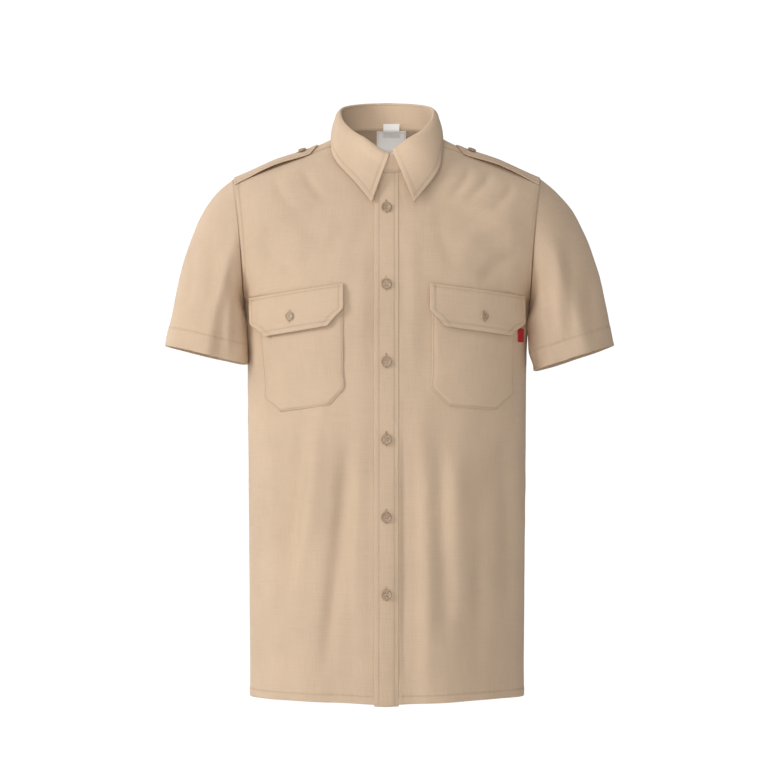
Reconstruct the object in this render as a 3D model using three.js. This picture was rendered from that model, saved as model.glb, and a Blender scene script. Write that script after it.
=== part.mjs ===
// A short-sleeved work shirt in the shape that it has on a wearer, with no wearer in it:
// every piece that a maker cuts and sews on is a thin wall of cloth round an empty hollow.
// Millimetres. +Z up, -Y forwards, +X towards the wearer's left.
// The origin lies midway between the high points of the shoulders, where the neck stands.
import * as THREE from "three";

// Walls and gaps
const CLOTH = 1.5; // wall of one layer of cloth
const COLLAR_CLOTH = 1.8; // collar leaf and stand, which are interlined
const PLACKET_CLOTH = 2.1; // folded front band
const SEAM_GAP = 0.5; // between two pieces that are sewn edge to edge
const LAY_GAP = 0.7; // under a piece that lies on another one

// Heights, measured up from the high points of the shoulders
const HEM_Z = -752;
const HEM_TURN = 10; // depth of the turned bottom hem
const HEM_EXTRA = 0.5; // that the turned hem stands out
const UNDERARM_Z = -224;
const NECK_FRONT_Z = -52;
const YOKE_BACK_Z = -95;

// Rows and columns of the cloth grids
const SIDE_ROWS = 16; // hem to underarm
const FRONT_ARM_ROWS = 9; // underarm to the yoke's front seam
const TOP_ARM_COLUMNS = 5; // over the shoulder
const BACK_ARM_ROWS = 7; // yoke's back seam to underarm
const CENTRE_ROWS = 20; // hem to the neck point
const NECK_ROWS = 5; // neck point to the yoke's front seam
const FRONT_COLUMNS = 13;
const BACK_COLUMNS = 20;
const YOKE_ROWS = 5;
const SLEEVE_ROWS = 11;
const PATCH_ROWS = 8;
const PATCH_COLUMNS = 8;
const STRAP_COLUMNS = 8;
const BUTTON_SIDES = 14;

// Side line of the body
const SIDE = [
  { z: -752, half: 184.5 },
  { z: -640, half: 185.5 },
  { z: -500, half: 186.5 },
  { z: -380, half: 187.5 },
  { z: -290, half: 188.5 },
  { z: -224, half: 192 },
];

// Depth of the body on its centre lines, ahead of and behind the side line
const CENTRE_FRONT = [
  { z: -752, depth: 114 },
  { z: -600, depth: 117 },
  { z: -450, depth: 119 },
  { z: -320, depth: 120 },
  { z: -224, depth: 117 },
  { z: -150, depth: 109 },
  { z: -100, depth: 95 },
  { z: -52, depth: 74 },
];
const CENTRE_BACK = [
  { z: -752, depth: 118 },
  { z: -600, depth: 117 },
  { z: -450, depth: 116 },
  { z: -320, depth: 120 },
  { z: -224, depth: 126 },
  { z: -150, depth: 125 },
  { z: -95, depth: 115 },
];

// How far the hem lies above its level, by width: it hangs lowest on the centre lines and the sides
const HEM_RISE = [
  { x: 0, rise: 0 },
  { x: 60, rise: 2 },
  { x: 115, rise: 3 },
  { x: 160, rise: 1.5 },
  { x: 185, rise: 0 },
];

// How each row of the front and the back bows between its two ends: handle lengths, and the
// headings of the cloth there, in degrees from straight sideways to straight back or forwards
const FRONT_BOW = [
  { row: 0, inner: 92, innerTurn: 0, outer: 60, outerTurn: 82 },
  { row: 6, inner: 98, innerTurn: 0, outer: 64, outerTurn: 84 },
  { row: 12, inner: 110, innerTurn: 0, outer: 78, outerTurn: 88 },
  { row: 15, inner: 108, innerTurn: 0, outer: 88, outerTurn: 88 },
  { row: 16, inner: 106, innerTurn: 0, outer: 90, outerTurn: 87 },
  { row: 17, inner: 102, innerTurn: -1.5, outer: 76, outerTurn: 78 },
  { row: 18, inner: 98, innerTurn: -3.5, outer: 60, outerTurn: 66 },
  { row: 19, inner: 86, innerTurn: -11, outer: 52, outerTurn: 55 },
  { row: 20, inner: 74, innerTurn: -15.5, outer: 50, outerTurn: 46 },
  { row: 23, inner: 52, innerTurn: -12, outer: 47, outerTurn: 24 },
  { row: 25, inner: 46.5, innerTurn: 3, outer: 46.5, outerTurn: 3 },
];
const BACK_BOW = [
  { row: 0, inner: 104, innerTurn: 0, outer: 68, outerTurn: 84 },
  { row: 12, inner: 110, innerTurn: 0, outer: 80, outerTurn: 88 },
  { row: 15, inner: 108, innerTurn: 0, outer: 94, outerTurn: 89 },
  { row: 16, inner: 106, innerTurn: 0, outer: 98, outerTurn: 88 },
  { row: 17, inner: 102, innerTurn: 0, outer: 80, outerTurn: 80 },
  { row: 18, inner: 99, innerTurn: 0, outer: 62, outerTurn: 70 },
  { row: 19, inner: 96, innerTurn: 0, outer: 54, outerTurn: 61 },
  { row: 23, inner: 84, innerTurn: 0, outer: 50, outerTurn: 40 },
];

// Armhole: an upright loop, widest at the shoulder
const ARMHOLE = { centreZ: -139.5, height: 83, ahead: 62, behind: 66, lowX: 192, highX: 207 };
const ARMHOLE_FLARE = 2.2; // power by which it widens upwards
const YOKE_FRONT_PHI = 15; // where the yoke's seams meet the loop, in degrees from its top
const YOKE_BACK_PHI = -62;

// Neck seam, by degrees from the centre front: its height, and the height of the stand on it
const NECK = { half: 67, centreY: -9, reach: 65 };
const NECK_STATIONS = [
  { deg: 0, seam: -52, stand: 21 },
  { deg: 13, seam: -52, stand: 31 },
  { deg: 26, seam: -44, stand: 33 },
  { deg: 42, seam: -34, stand: 32 },
  { deg: 66, seam: -19, stand: 33 },
  { deg: 90, seam: -2, stand: 32 },
  { deg: 118, seam: 8, stand: 32 },
  { deg: 150, seam: 14, stand: 32 },
  { deg: 180, seam: 16, stand: 32 },
];
const YOKE_NECK_DEG = 77; // the yoke's front seam on the neck
const YOKE_BACK_NECK_DEG = 118; // the neck end of the line to the yoke's lower corner
const YOKE_STEEP = { low: 74, neck: 34 }; // its slope behind, in degrees, at its two seams

// Largest folds: the side they are on, their width from the centre line, where they start and end,
// their half width, how far they stand out (minus for a trough), and how far they lean sideways
const FRONT_FOLDS = [
  { side: -1, x: 92, top: -395, foot: -800, half: 26, out: 4.5, drift: 8 },
  { side: -1, x: 46, top: -400, foot: -800, half: 20, out: -4.5, drift: 10 },
  { side: -1, x: 150, top: -380, foot: -800, half: 22, out: 2.5, drift: -14 },
  { side: -1, x: 168, top: -70, foot: -230, half: 13, out: 2.5, drift: 8 },
  { side: 1, x: 34, top: -390, foot: -800, half: 18, out: -4, drift: -6 },
  { side: 1, x: 88, top: -385, foot: -800, half: 28, out: 4.5, drift: -12 },
  { side: 1, x: 150, top: -400, foot: -800, half: 20, out: -3.5, drift: 6 },
  { side: 1, x: 160, top: -90, foot: -230, half: 14, out: 2, drift: 10 },
];
const BACK_FOLDS = [
  { side: -1, x: 55, top: -180, foot: -800, half: 24, out: 5, drift: 14 },
  { side: -1, x: 118, top: -260, foot: -800, half: 22, out: -5, drift: 6 },
  { side: 1, x: 10, top: -260, foot: -800, half: 20, out: -5, drift: 6 },
  { side: 1, x: 70, top: -190, foot: -800, half: 26, out: 5, drift: 10 },
  { side: 1, x: 135, top: -300, foot: -800, half: 20, out: -4, drift: -6 },
];
const FOLD_FADE = 0.3; // share of a fold's length over which it starts and ends
const FLAT_SIDE = 0.1; // share of a row's width, next to the side seam, without folds
const YOKE_FADE_ROWS = 4; // rows under the yoke over which the folds of the back start
const BACK_TURN = 4; // how slowly the back's folds turn sideways with their width

// Centre front: the band that carries the buttonholes, and the wearer's right front under it
const PLACKET = { left: -16.5, right: 15.5, raise: 0.6, drop: 2 };
const UNDERLAP = { edge: 14.5, start: -36, full: -18, sink: 2.6, neckRows: 1.5 };
const JUST_RIGHT = 1e-6; // the least width that counts as the wearer's right of the centre line

// Sleeves: the middle of the hem ring, its half width, its tilt and turn, and how the cap bulges
const SLEEVE_HEM = { y: -9, ahead: 60, behind: 60, turn: 8, extra: 0.6 };
const SLEEVE_TURN = { rows: 2, share: 0.12 }; // turned hem: its rows, and its share of the length
const SLEEVES = [
  { side: -1, name: "sleeve_right", x: 245.5, z: -294, half: 53.5, tilt: 13.7, cap: 80, drop: 70 },
  { side: 1, name: "sleeve_left", x: 253, z: -298, half: 54.5, tilt: 18.5, cap: 92, drop: 70 },
];
const SLEEVE_LEAN = 12.7; // of the outer line, in degrees from upright
const SIDE_LEAN = 0.6; // share of that lean ahead and behind
const CAP_SIDE = { start: 32, end: 40 }; // handle lengths ahead, behind and underneath
const SLEEVE_FOLD_START = { none: 0.12, full: 0.45 }; // shares of the way down where its folds set in
const SLEEVE_FOLD_END = 0.8; // share of the way down from which a fold fades to its share at the hem
const SLEEVE_FOLDS = [
  { side: -1, phi: 62, half: 12, out: -3 },
  { side: -1, phi: 85, half: 11, out: 2.5 },
  { side: -1, phi: 104, half: 11, out: -3 },
  { side: -1, phi: 152, half: 19, out: 10 },
  { side: -1, phi: 235, half: 16, out: 3 },
  { side: -1, phi: 285, half: 18, out: -3 },
  { side: 1, phi: 70, half: 14, out: 2.5 },
  { side: 1, phi: 100, half: 12, out: -3.5 },
  { side: 1, phi: 122, half: 12, out: 3 },
  { side: 1, phi: 153, half: 20, out: 14, atHem: 0.4 },
  { side: 1, phi: 240, half: 16, out: -3 },
  { side: 1, phi: 290, half: 18, out: 3 },
];

// Collar stand: how far its ends are lapped and how it leans in
const STAND_LAP = 1.3;
const STAND_LEAN = 0.06;
const STAND_FOOT = 0.5;

// Collar leaf: the free edge, by degrees from the centre front, how far it stands off the cloth
// under it, and the way to that cloth, in degrees down from straight back
const LEAF_SHIFT = 8; // the points hang this far towards the wearer's left
const LEAF_MIDDLE_DEG = 4.8; // where the leaves meet on the stand
const LEAF_TURNED_DEG = 40; // on each side of the centre front that is turned by it
const LEAF_START_DEG = 1.5;
const LEAF_RISE = 4; // the roll above the stand
const LEAF_BOW = 2.5;
const LEAF_COLUMNS = 40;
const LEAF_CORNER = { down: 1.4, out: 2.6 }; // where the roll turns down, below and out from its top
const LEAF_FRONT = { start: 66, full: 14 }; // degrees between which the shift of the points sets in
const LEAF_EDGE = [
  { deg: 1.5, x: 28, y: -101, z: -94, off: 6.5, down: 0 },
  { deg: 14, x: 44.5, y: -99, z: -73, off: 6, down: 0 },
  { deg: 32, x: 61, y: -86, z: -50, off: 5, down: 15 },
  { deg: 50, x: 70, y: -66, z: -34, off: 4.5, down: 40 },
  { deg: 72, x: 74.5, y: -38, z: -18, off: 3.5, down: 75 },
  { deg: 95, x: 75, y: -5, z: -7, off: 3, down: 90 },
  { deg: 120, x: 65, y: 34, z: -1, off: 3, down: 90 },
  { deg: 150, x: 37, y: 61, z: 4, off: 3, down: 90 },
  { deg: 180, x: 0, y: 71, z: 6, off: 3, down: 90 },
];

// Chest pockets and flaps: widths, how far the outer side comes in at the foot, heights at the inner
// edge, clipped corners, and how steeply the low and the high edge fall towards the side
const CHEST = [
  {
    side: -1,
    word: "right",
    pocket: { inner: 57.5, outer: 171, taper: 12, top: -222, foot: -358, mitre: 18, low: 0.13, high: 0.14 },
    flap: { inner: 57, outer: 184, taper: 2, top: -201, foot: -253.5, mitre: 21, low: 0.16, high: 0.145 },
  },
  {
    side: 1,
    word: "left",
    pocket: { inner: 59, outer: 170, taper: 3, top: -222, foot: -360, mitre: 22, low: 0.075, high: 0.12 },
    flap: { inner: 56.5, outer: 184, taper: 0, top: -201, foot: -255, mitre: 20, low: 0.13, high: 0.12 },
  },
];
const PATCH_GAP = 1.25; // under a pocket, and under a flap
const FLAP_LIFT = 3; // at its foot, away from the pocket
const FLAP_STEP = 0.2; // share of the flap over which it climbs on to the pocket
const PEN_TAB = { x: 178.5, top: -259, foot: -277, width: 8, wall: 1 };

// Shoulder straps: a point by the collar, wider at the sleeve, arched over the shoulder
const STRAP = { tipX: 93, tipDepth: 10, neckHalf: 20, sleeveHalf: 25, wall: 1.6, lift: 0.5, arch: 3.2 };
const STRAP_FORWARD = 7; // of the line over the shoulder
const STRAP_STATIONS = [0, 0.08, 0.2, 0.35, 0.5, 0.65, 0.8, 0.92, 1]; // closer at both ends

// Buttons
const BUTTON = { radius: 7, thick: 2.6, rim: 1.2, dish: 0.8 };
const SMALL_BUTTON = { radius: 5.7, thick: 2.4, rim: 1.1, dish: 0.7 };
const BUTTON_FORM = { back: 0.72, low: 0.35, high: 0.7, crown: 0.5, slope: 1.9 }; // shares of those sizes
const BUTTON_SEAT = 0.6; // share of the radius over which a button takes the slope of its cloth
const BUTTON_X = -1;
const FIRST_BUTTON_Z = -101;
const BUTTON_PITCH = 101.3;
const FRONT_BUTTONS = 6;
const FLAP_BUTTON = { x: 127.5, z: -244 };
const STRAP_BUTTON = { x: 114, y: -10 };

// Labels inside the back of the neck: middle, half width, top and foot, wall, and gap to the cloth
const LABEL_X = 6;
const LABEL = { half: 20, top: 13, foot: -22, wall: 1, off: 0.5 };
const SIZE_TAB = { half: 11, top: 23, foot: 5, wall: 0.8, off: 2.2 };

const FAR = 400; // beyond every piece, where lines to the cloth start
const LEAST_SLANT = 0.25; // least share of an offset that counts on sloping cloth
const SAME_WAY = 0.3; // least cosine between two ways out that a seam evens out
const NEARBY = 0.01; // step, in rows and shares, over which a slope is taken

const point = (x, y, z) => new THREE.Vector3(x, y, z);
const radians = THREE.MathUtils.degToRad;
const degrees = THREE.MathUtils.radToDeg;
const mix = THREE.MathUtils.lerp;
const clamp = THREE.MathUtils.clamp;
const smoothstep = THREE.MathUtils.smoothstep;
const steps = (count) => Array.from({ length: count + 1 }, (_, i) => i / count);
const bell = (distance, half) => Math.exp(-((distance / half) ** 2));

/** A smooth function through one column of a table, whose key column rises. */
function column(table, key, name) {
  const last = table.length - 1;
  const slope = table.map((_, i) => {
    const before = table[Math.max(i - 1, 0)];
    const after = table[Math.min(i + 1, last)];
    return (after[name] - before[name]) / (after[key] - before[key]);
  });
  return (value) => {
    const at = clamp(value, table[0][key], table[last][key]);
    const i = clamp(table.findIndex((row) => row[key] >= at) - 1, 0, last - 1);
    const step = table[i + 1][key] - table[i][key];
    const t = (at - table[i][key]) / step;
    const rest = 1 - t;
    return (
      table[i][name] * (1 + 2 * t) * rest * rest +
      slope[i] * step * t * rest * rest +
      table[i + 1][name] * t * t * (3 - 2 * t) -
      slope[i + 1] * step * t * t * rest
    );
  };
}

/** All columns of a table but its key, as one function that gives an object. */
function columns(table, key) {
  const names = Object.keys(table[0]).filter((name) => name !== key);
  const curves = names.map((name) => column(table, key, name));
  return (value) => Object.fromEntries(names.map((name, i) => [name, curves[i](value)]));
}

const sideHalf = column(SIDE, "z", "half");
const depthAhead = column(CENTRE_FRONT, "z", "depth");
const depthBehind = column(CENTRE_BACK, "z", "depth");
const frontBow = columns(FRONT_BOW, "row");
const backBow = columns(BACK_BOW, "row");
const neckStation = columns(NECK_STATIONS, "deg");
const hemRise = column(HEM_RISE, "x", "rise");
const leafEdge = columns(LEAF_EDGE, "deg");

/** A point of a cubic curve from start to end with two handles. */
function cubic([start, handleA, handleB, end], t) {
  const rest = 1 - t;
  return point(0, 0, 0)
    .addScaledVector(start, rest ** 3)
    .addScaledVector(handleA, 3 * rest * rest * t)
    .addScaledVector(handleB, 3 * rest * t * t)
    .addScaledVector(end, t ** 3);
}

/** The armhole seam of the wearer's left side, by degrees from its top, rising forwards. */
function armhole(phi) {
  const turn = radians(phi);
  const z = ARMHOLE.centreZ + ARMHOLE.height * Math.cos(turn);
  const depth = phi > 0 ? ARMHOLE.ahead : ARMHOLE.behind;
  const share = (z - ARMHOLE.centreZ + ARMHOLE.height) / (2 * ARMHOLE.height);
  const x = mix(ARMHOLE.lowX, ARMHOLE.highX, Math.max(share, 0) ** ARMHOLE_FLARE);
  return point(x, -depth * Math.sin(turn), z);
}

/** The neck seam, by degrees from the centre front towards the wearer's left. */
function neckSeam(deg) {
  const turn = radians(deg);
  const y = NECK.centreY - NECK.reach * Math.cos(turn);
  return point(NECK.half * Math.sin(turn), y, neckStation(deg).seam);
}

/** Height of a body row from the hem to the underarm: the first row is the turned hem. */
function sideZ(row) {
  if (row < 1) return HEM_Z + HEM_TURN * row;
  return mix(HEM_Z + HEM_TURN, UNDERARM_Z, (row - 1) / (SIDE_ROWS - 1));
}

/** Angle on the neck at which the band's edge meets it. */
const BAND_NECK_DEG = degrees(Math.asin(PLACKET.right / NECK.half));

/** Where a row of the front starts: on the centre line, then on the neck seam from the band's edge. */
function frontInner(row) {
  if (row >= CENTRE_ROWS) return neckSeam(mix(BAND_NECK_DEG, YOKE_NECK_DEG, (row - CENTRE_ROWS) / NECK_ROWS));
  const share = (row - SIDE_ROWS) / (CENTRE_ROWS - SIDE_ROWS);
  const z = row < SIDE_ROWS ? sideZ(row) : mix(UNDERARM_Z, NECK_FRONT_Z, share);
  return point(0, -depthAhead(z), z);
}

/** Where a row of the front ends: on the side seam, then on the armhole. */
function frontOuter(row) {
  if (row <= SIDE_ROWS) return point(sideHalf(sideZ(row)), 0, sideZ(row));
  return armhole(mix(180, YOKE_FRONT_PHI, (row - SIDE_ROWS) / FRONT_ARM_ROWS));
}

/** Where a row of the back starts, on the centre line. */
function backInner(row) {
  const z = row < SIDE_ROWS ? sideZ(row) : mix(UNDERARM_Z, YOKE_BACK_Z, (row - SIDE_ROWS) / BACK_ARM_ROWS);
  return point(0, depthBehind(z), z);
}

/** Where a row of the back ends: on the side seam, then on the armhole. */
function backOuter(row) {
  if (row <= SIDE_ROWS) return frontOuter(row);
  return armhole(mix(-180, YOKE_BACK_PHI, (row - SIDE_ROWS) / BACK_ARM_ROWS));
}

/** The handles of a row that bows forwards (facing -1) or backwards (facing 1). */
function rowCurve(start, end, bow, facing) {
  const run = end.x - start.x;
  const handle = (from, length, turn) => {
    const sideways = length * Math.cos(radians(turn));
    const y = from.y - facing * length * Math.sin(radians(turn));
    return point(from.x + sideways, y, from.z + ((end.z - start.z) * sideways) / run);
  };
  const innerHandle = handle(start, bow.inner, bow.innerTurn);
  const outerHandle = handle(end, -bow.outer, bow.outerTurn);
  return [start, innerHandle, outerHandle, end];
}

const frontCurve = (row) => rowCurve(frontInner(row), frontOuter(row), frontBow(row), -1);
const backCurve = (row) => rowCurve(backInner(row), backOuter(row), backBow(row), 1);

/** How far the folds of one side move the cloth out at a width from the centre line and a height. */
function foldsOut(folds, side, x, z) {
  return folds
    .filter((fold) => fold.side === side)
    .reduce((sum, fold) => {
      const run = (fold.top - z) / (fold.top - fold.foot);
      const strength = smoothstep(run, 0, FOLD_FADE) * smoothstep(1 - run, 0, FOLD_FADE / 3);
      return sum + fold.out * strength * bell(x - fold.x - fold.drift * run, fold.half);
    }, 0);
}

/** The same fade for all folds, so that a panel's side edge stays plain. */
const plainSide = (share) => smoothstep(1 - FLAT_SIDE / 2 - share, 0, FLAT_SIDE);

/** A point of the front and its way out of the cloth, by row and share of the width, minus for the right. */
function frontPlace(row, share) {
  const side = share < 0 ? -1 : 1;
  const across = Math.abs(share);
  const bare = (r, c) => cubic(frontCurve(r), c);
  const at = bare(row, across);
  const low = Math.max(across - NEARBY, 0);
  const sideways = bare(row, low + 2 * NEARBY).sub(bare(row, low));
  const above = bare(Math.min(row + NEARBY, CENTRE_ROWS + NECK_ROWS), across);
  const below = bare(Math.max(row - NEARBY, row < CENTRE_ROWS ? 0 : CENTRE_ROWS), across);
  const out = sideways.cross(above.sub(below)).normalize();
  at.addScaledVector(out, plainSide(across) * foldsOut(FRONT_FOLDS, side, at.x, at.z));
  at.z += hemRise(at.x) * smoothstep(1 - row, 0, 1);
  at.x *= side;
  out.x *= side;
  return { at, out };
}

/** One piece of cloth: a grid of points on its outer face, as rows of columns, and the way out at each. */
class Piece {
  /**
   * @param {THREE.Vector3[][]} grid rows of points, which turn out of the cloth as columns cross rows
   * @param {boolean} round whether the last column joins the first
   */
  constructor(grid, round = false) {
    this.round = round;
    this.outs = grid.map((row, i) =>
      row.map((_, j) => {
        const last = row.length - 1;
        const next = round ? row[(j + 1) % row.length] : row[Math.min(j + 1, last)];
        const before = round ? row[(j + last) % row.length] : row[Math.max(j - 1, 0)];
        const above = grid[Math.min(i + 1, grid.length - 1)][j];
        const below = grid[Math.max(i - 1, 0)][j];
        return next.clone().sub(before).cross(above.clone().sub(below)).normalize();
      }),
    );
    this.grid = grid.map((row, i) => row.map((place, j) => this.setBack(grid, place, i, j)));
  }

  /** An edge point, moved into its piece by half the seam gap. */
  setBack(grid, place, i, j) {
    const moved = place.clone();
    const last = grid[0].length - 1;
    const towards = (other) => moved.add(other.clone().sub(place).setLength(SEAM_GAP / 2));
    if (i === 0) towards(grid[1][j]);
    if (i === grid.length - 1) towards(grid[i - 1][j]);
    if (!this.round && j === 0) towards(grid[i][1]);
    if (!this.round && j === last) towards(grid[i][last - 1]);
    return moved;
  }

  /** Every point on the piece's edges, with its way out. */
  edgePoints() {
    const last = this.grid.length - 1;
    return this.grid.flatMap((row, i) =>
      row.flatMap((place, j) => {
        const onEdge = i === 0 || i === last || (!this.round && (j === 0 || j === row.length - 1));
        return onEdge ? [{ place, out: this.outs[i][j] }] : [];
      }),
    );
  }

  /** The piece as a closed wall. thickness is a number, or a function of row and column. */
  wall(thickness, raise = () => 0) {
    const rows = this.grid.length;
    const across = this.grid[0].length;
    const depth = typeof thickness === "number" ? () => thickness : thickness;
    const shifted = (way) =>
      this.grid.flatMap((row, i) => row.map((p, j) => p.clone().addScaledVector(this.outs[i][j], way(i, j))));
    const places = [...shifted(raise), ...shifted((i, j) => raise(i, j) - depth(i, j))];
    const inside = rows * across;
    const faces = [];
    const quad = (a, b, c, d) => faces.push(a, b, c, a, c, d);
    const at = (i, j) => i * across + (j % across);
    const spans = this.round ? across : across - 1;
    for (let i = 0; i < rows - 1; i += 1) {
      for (let j = 0; j < spans; j += 1) {
        const [a, b, c, d] = [at(i, j), at(i, j + 1), at(i + 1, j + 1), at(i + 1, j)];
        quad(a, b, c, d);
        quad(inside + d, inside + c, inside + b, inside + a);
      }
    }
    const rim = (a, b) => quad(b, a, inside + a, inside + b);
    for (let j = 0; j < spans; j += 1) {
      rim(at(0, j), at(0, j + 1));
      rim(at(rows - 1, j + 1), at(rows - 1, j));
    }
    if (!this.round) {
      for (let i = 0; i < rows - 1; i += 1) {
        rim(at(i + 1, 0), at(i, 0));
        rim(at(i, across - 1), at(i + 1, across - 1));
      }
    }
    const geometry = new THREE.BufferGeometry();
    const numbers = places.flatMap((p) => p.toArray());
    geometry.setAttribute("position", new THREE.Float32BufferAttribute(numbers, 3));
    geometry.setIndex(faces);
    geometry.computeVertexNormals();
    return geometry;
  }
}

/** The wall of a piece whose first two rows are a turned hem, which stands out. */
function hemmedWall(piece, extra) {
  const hem = (row) => (row < 2 ? extra : 0);
  return piece.wall((row) => CLOTH + hem(row), hem);
}

/** Gives sewn pieces one shared way out along each seam, unless they fold back on each other. */
function sewTogether(pieces) {
  const edges = pieces.flatMap((piece) => piece.edgePoints());
  const shared = edges.map(({ place, out }) => {
    const sum = point(0, 0, 0);
    edges
      .filter((other) => other.place.distanceTo(place) < SEAM_GAP && other.out.dot(out) > SAME_WAY)
      .forEach((other) => sum.add(other.out));
    return sum.normalize();
  });
  edges.forEach(({ out }, i) => out.copy(shared[i]));
}

const mirrored = (p) => point(-p.x, p.y, p.z);
const rowNumbers = (count) => Array.from({ length: count + 1 }, (_, i) => i);

/** The share of a row's width at which a width from the centre line lies, near that line. */
const shareAt = (row, x) => x / (3 * frontBow(row).inner);

/** The wearer's left front, from the band's edge to the side seam. */
function makeLeftFront() {
  const grid = rowNumbers(CENTRE_ROWS + NECK_ROWS).map((row) => {
    const start = row < CENTRE_ROWS ? shareAt(row, PLACKET.right) : 0;
    return steps(FRONT_COLUMNS).map((t) => frontPlace(row, mix(start, 1, t)).at);
  });
  return new Piece(grid);
}

/** How far over the centre line a row of the right front reaches. */
const rightEdge = (row) => (row < CENTRE_ROWS ? UNDERLAP.edge : -JUST_RIGHT);

/** The wearer's right front, which runs on under the band and sinks there. */
function makeRightFront() {
  const grid = rowNumbers(CENTRE_ROWS + NECK_ROWS).map((row) => {
    const start = shareAt(row, rightEdge(row));
    return steps(FRONT_COLUMNS + 1).map((t) => {
      const { at, out } = frontPlace(row, mix(-1, start, t));
      return at.addScaledVector(out, -UNDERLAP.sink * underlap(at.x, row));
    });
  });
  return new Piece(grid);
}

/** How much of the sinking a point of the right front has: all of it under the band, none at the neck. */
function underlap(x, row) {
  const nearNeck = smoothstep(CENTRE_ROWS + UNDERLAP.neckRows - row, 0, UNDERLAP.neckRows);
  return smoothstep(x, UNDERLAP.start, UNDERLAP.full) * nearNeck;
}

/** A point of the band's top edge, which is sewn to the neck seam. */
function bandTop(x) {
  const { out } = frontPlace(CENTRE_ROWS, 0);
  return neckSeam(degrees(Math.asin(x / NECK.half))).addScaledVector(out.setX(0).normalize(), PLACKET.raise);
}

/** The band down the centre front. */
function makePlacket() {
  const widths = steps(3).map((t) => mix(PLACKET.left, PLACKET.right, t));
  const grid = rowNumbers(CENTRE_ROWS - 1).map((row) =>
    widths.map((x) => {
      const { at, out } = frontPlace(row, shareAt(row, x));
      at.addScaledVector(out, PLACKET.raise);
      if (row === 0) at.z -= PLACKET.drop;
      return at;
    }),
  );
  return new Piece([...grid, widths.map(bandTop)]);
}

/** A point of the back, by row and by share of the width, minus for the wearer's right. */
function backPlace(row, share) {
  const across = Math.abs(share);
  const side = share < 0 ? -1 : 1;
  const at = cubic(backCurve(row), across);
  const belowYoke = smoothstep(SIDE_ROWS + BACK_ARM_ROWS - row, 0, YOKE_FADE_ROWS);
  const outwards = point(at.x / BACK_TURN, at.y, 0).normalize();
  const folds = foldsOut(BACK_FOLDS, side, at.x, at.z);
  at.addScaledVector(outwards, belowYoke * plainSide(across) * folds);
  at.z += hemRise(at.x) * smoothstep(1 - row, 0, 1);
  at.x *= side;
  return at;
}

/** The back, from the wearer's left side to the right. */
function makeBack() {
  const shares = steps(BACK_COLUMNS).map((t) => 1 - 2 * t);
  const rows = rowNumbers(SIDE_ROWS + BACK_ARM_ROWS);
  return new Piece(rows.map((row) => shares.map((share) => backPlace(row, share))));
}

/** The yoke: from one front seam over the shoulder, round the back, and over the other shoulder. */
function makeYoke() {
  const shoulder = steps(TOP_ARM_COLUMNS).map((t) => ({
    outer: armhole(mix(YOKE_FRONT_PHI, YOKE_BACK_PHI, t)),
    neck: neckSeam(mix(YOKE_NECK_DEG, YOKE_BACK_NECK_DEG, t)),
    fall: 0,
  }));
  const behind = steps(BACK_COLUMNS).slice(1, -1).map((t) => {
    const deg = mix(YOKE_BACK_NECK_DEG, 360 - YOKE_BACK_NECK_DEG, t);
    return {
      outer: backPlace(SIDE_ROWS + BACK_ARM_ROWS, 1 - 2 * t),
      neck: deg > 180 ? mirrored(neckSeam(360 - deg)) : neckSeam(deg),
      fall: Math.sin(Math.PI * t),
    };
  });
  const otherShoulder = shoulder
    .map(({ outer, neck, fall }) => ({ outer: mirrored(outer), neck: mirrored(neck), fall }))
    .reverse();
  const lines = [...shoulder, ...behind, ...otherShoulder];
  return new Piece(steps(YOKE_ROWS).map((t) => lines.map((line) => yokePlace(line, t))));
}

/** A point of the yoke between its outer edge and the neck: straight over the shoulder, bowed behind. */
function yokePlace({ outer, neck, fall }, t) {
  const run = neck.clone().sub(outer);
  const third = run.length() / 3;
  const straight = run.clone().normalize();
  const inwards = point(run.x, run.y, 0).normalize();
  const heading = (slope) => {
    const bowed = inwards.clone().multiplyScalar(Math.cos(radians(slope))).setZ(Math.sin(radians(slope)));
    return straight.clone().lerp(bowed, fall).normalize();
  };
  const outerHandle = outer.clone().addScaledVector(heading(YOKE_STEEP.low), third);
  const neckHandle = neck.clone().addScaledVector(heading(YOKE_STEEP.neck), -third);
  return cubic([outer, outerHandle, neckHandle, neck], t);
}

/** The angles round the armhole at which the sleeve and its neighbours share points, underarm first. */
function armholeAngles() {
  const front = steps(FRONT_ARM_ROWS).map((t) => mix(180, YOKE_FRONT_PHI, t));
  const top = steps(TOP_ARM_COLUMNS).map((t) => mix(YOKE_FRONT_PHI, YOKE_BACK_PHI, t));
  const back = steps(BACK_ARM_ROWS).map((t) => mix(YOKE_BACK_PHI, -180, t));
  return [...front, ...top.slice(1), ...back.slice(1, -1)];
}

/** A point of the hem ring of a sleeve, by degrees from its outer side, rising forwards. */
function hemRing({ x, z, half, tilt }, phi) {
  const turn = radians(phi);
  const outwards = half * Math.cos(turn);
  const y = -(phi > 0 ? SLEEVE_HEM.ahead : SLEEVE_HEM.behind) * Math.sin(turn);
  const yaw = Math.sin(radians(SLEEVE_HEM.turn)) * y;
  const across = outwards * Math.cos(radians(tilt)) + yaw;
  return point(x + across, SLEEVE_HEM.y + y, z + outwards * Math.sin(radians(tilt)));
}

/** Headings of the sleeve's cloth as it leaves the armhole: over the shoulder, ahead, and underneath. */
const CAP_HEADING = {
  top: point(0.83, 0, -0.56),
  level: point(0.46, -0.2, -0.86),
  under: point(0.16, 0, -1),
};

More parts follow.
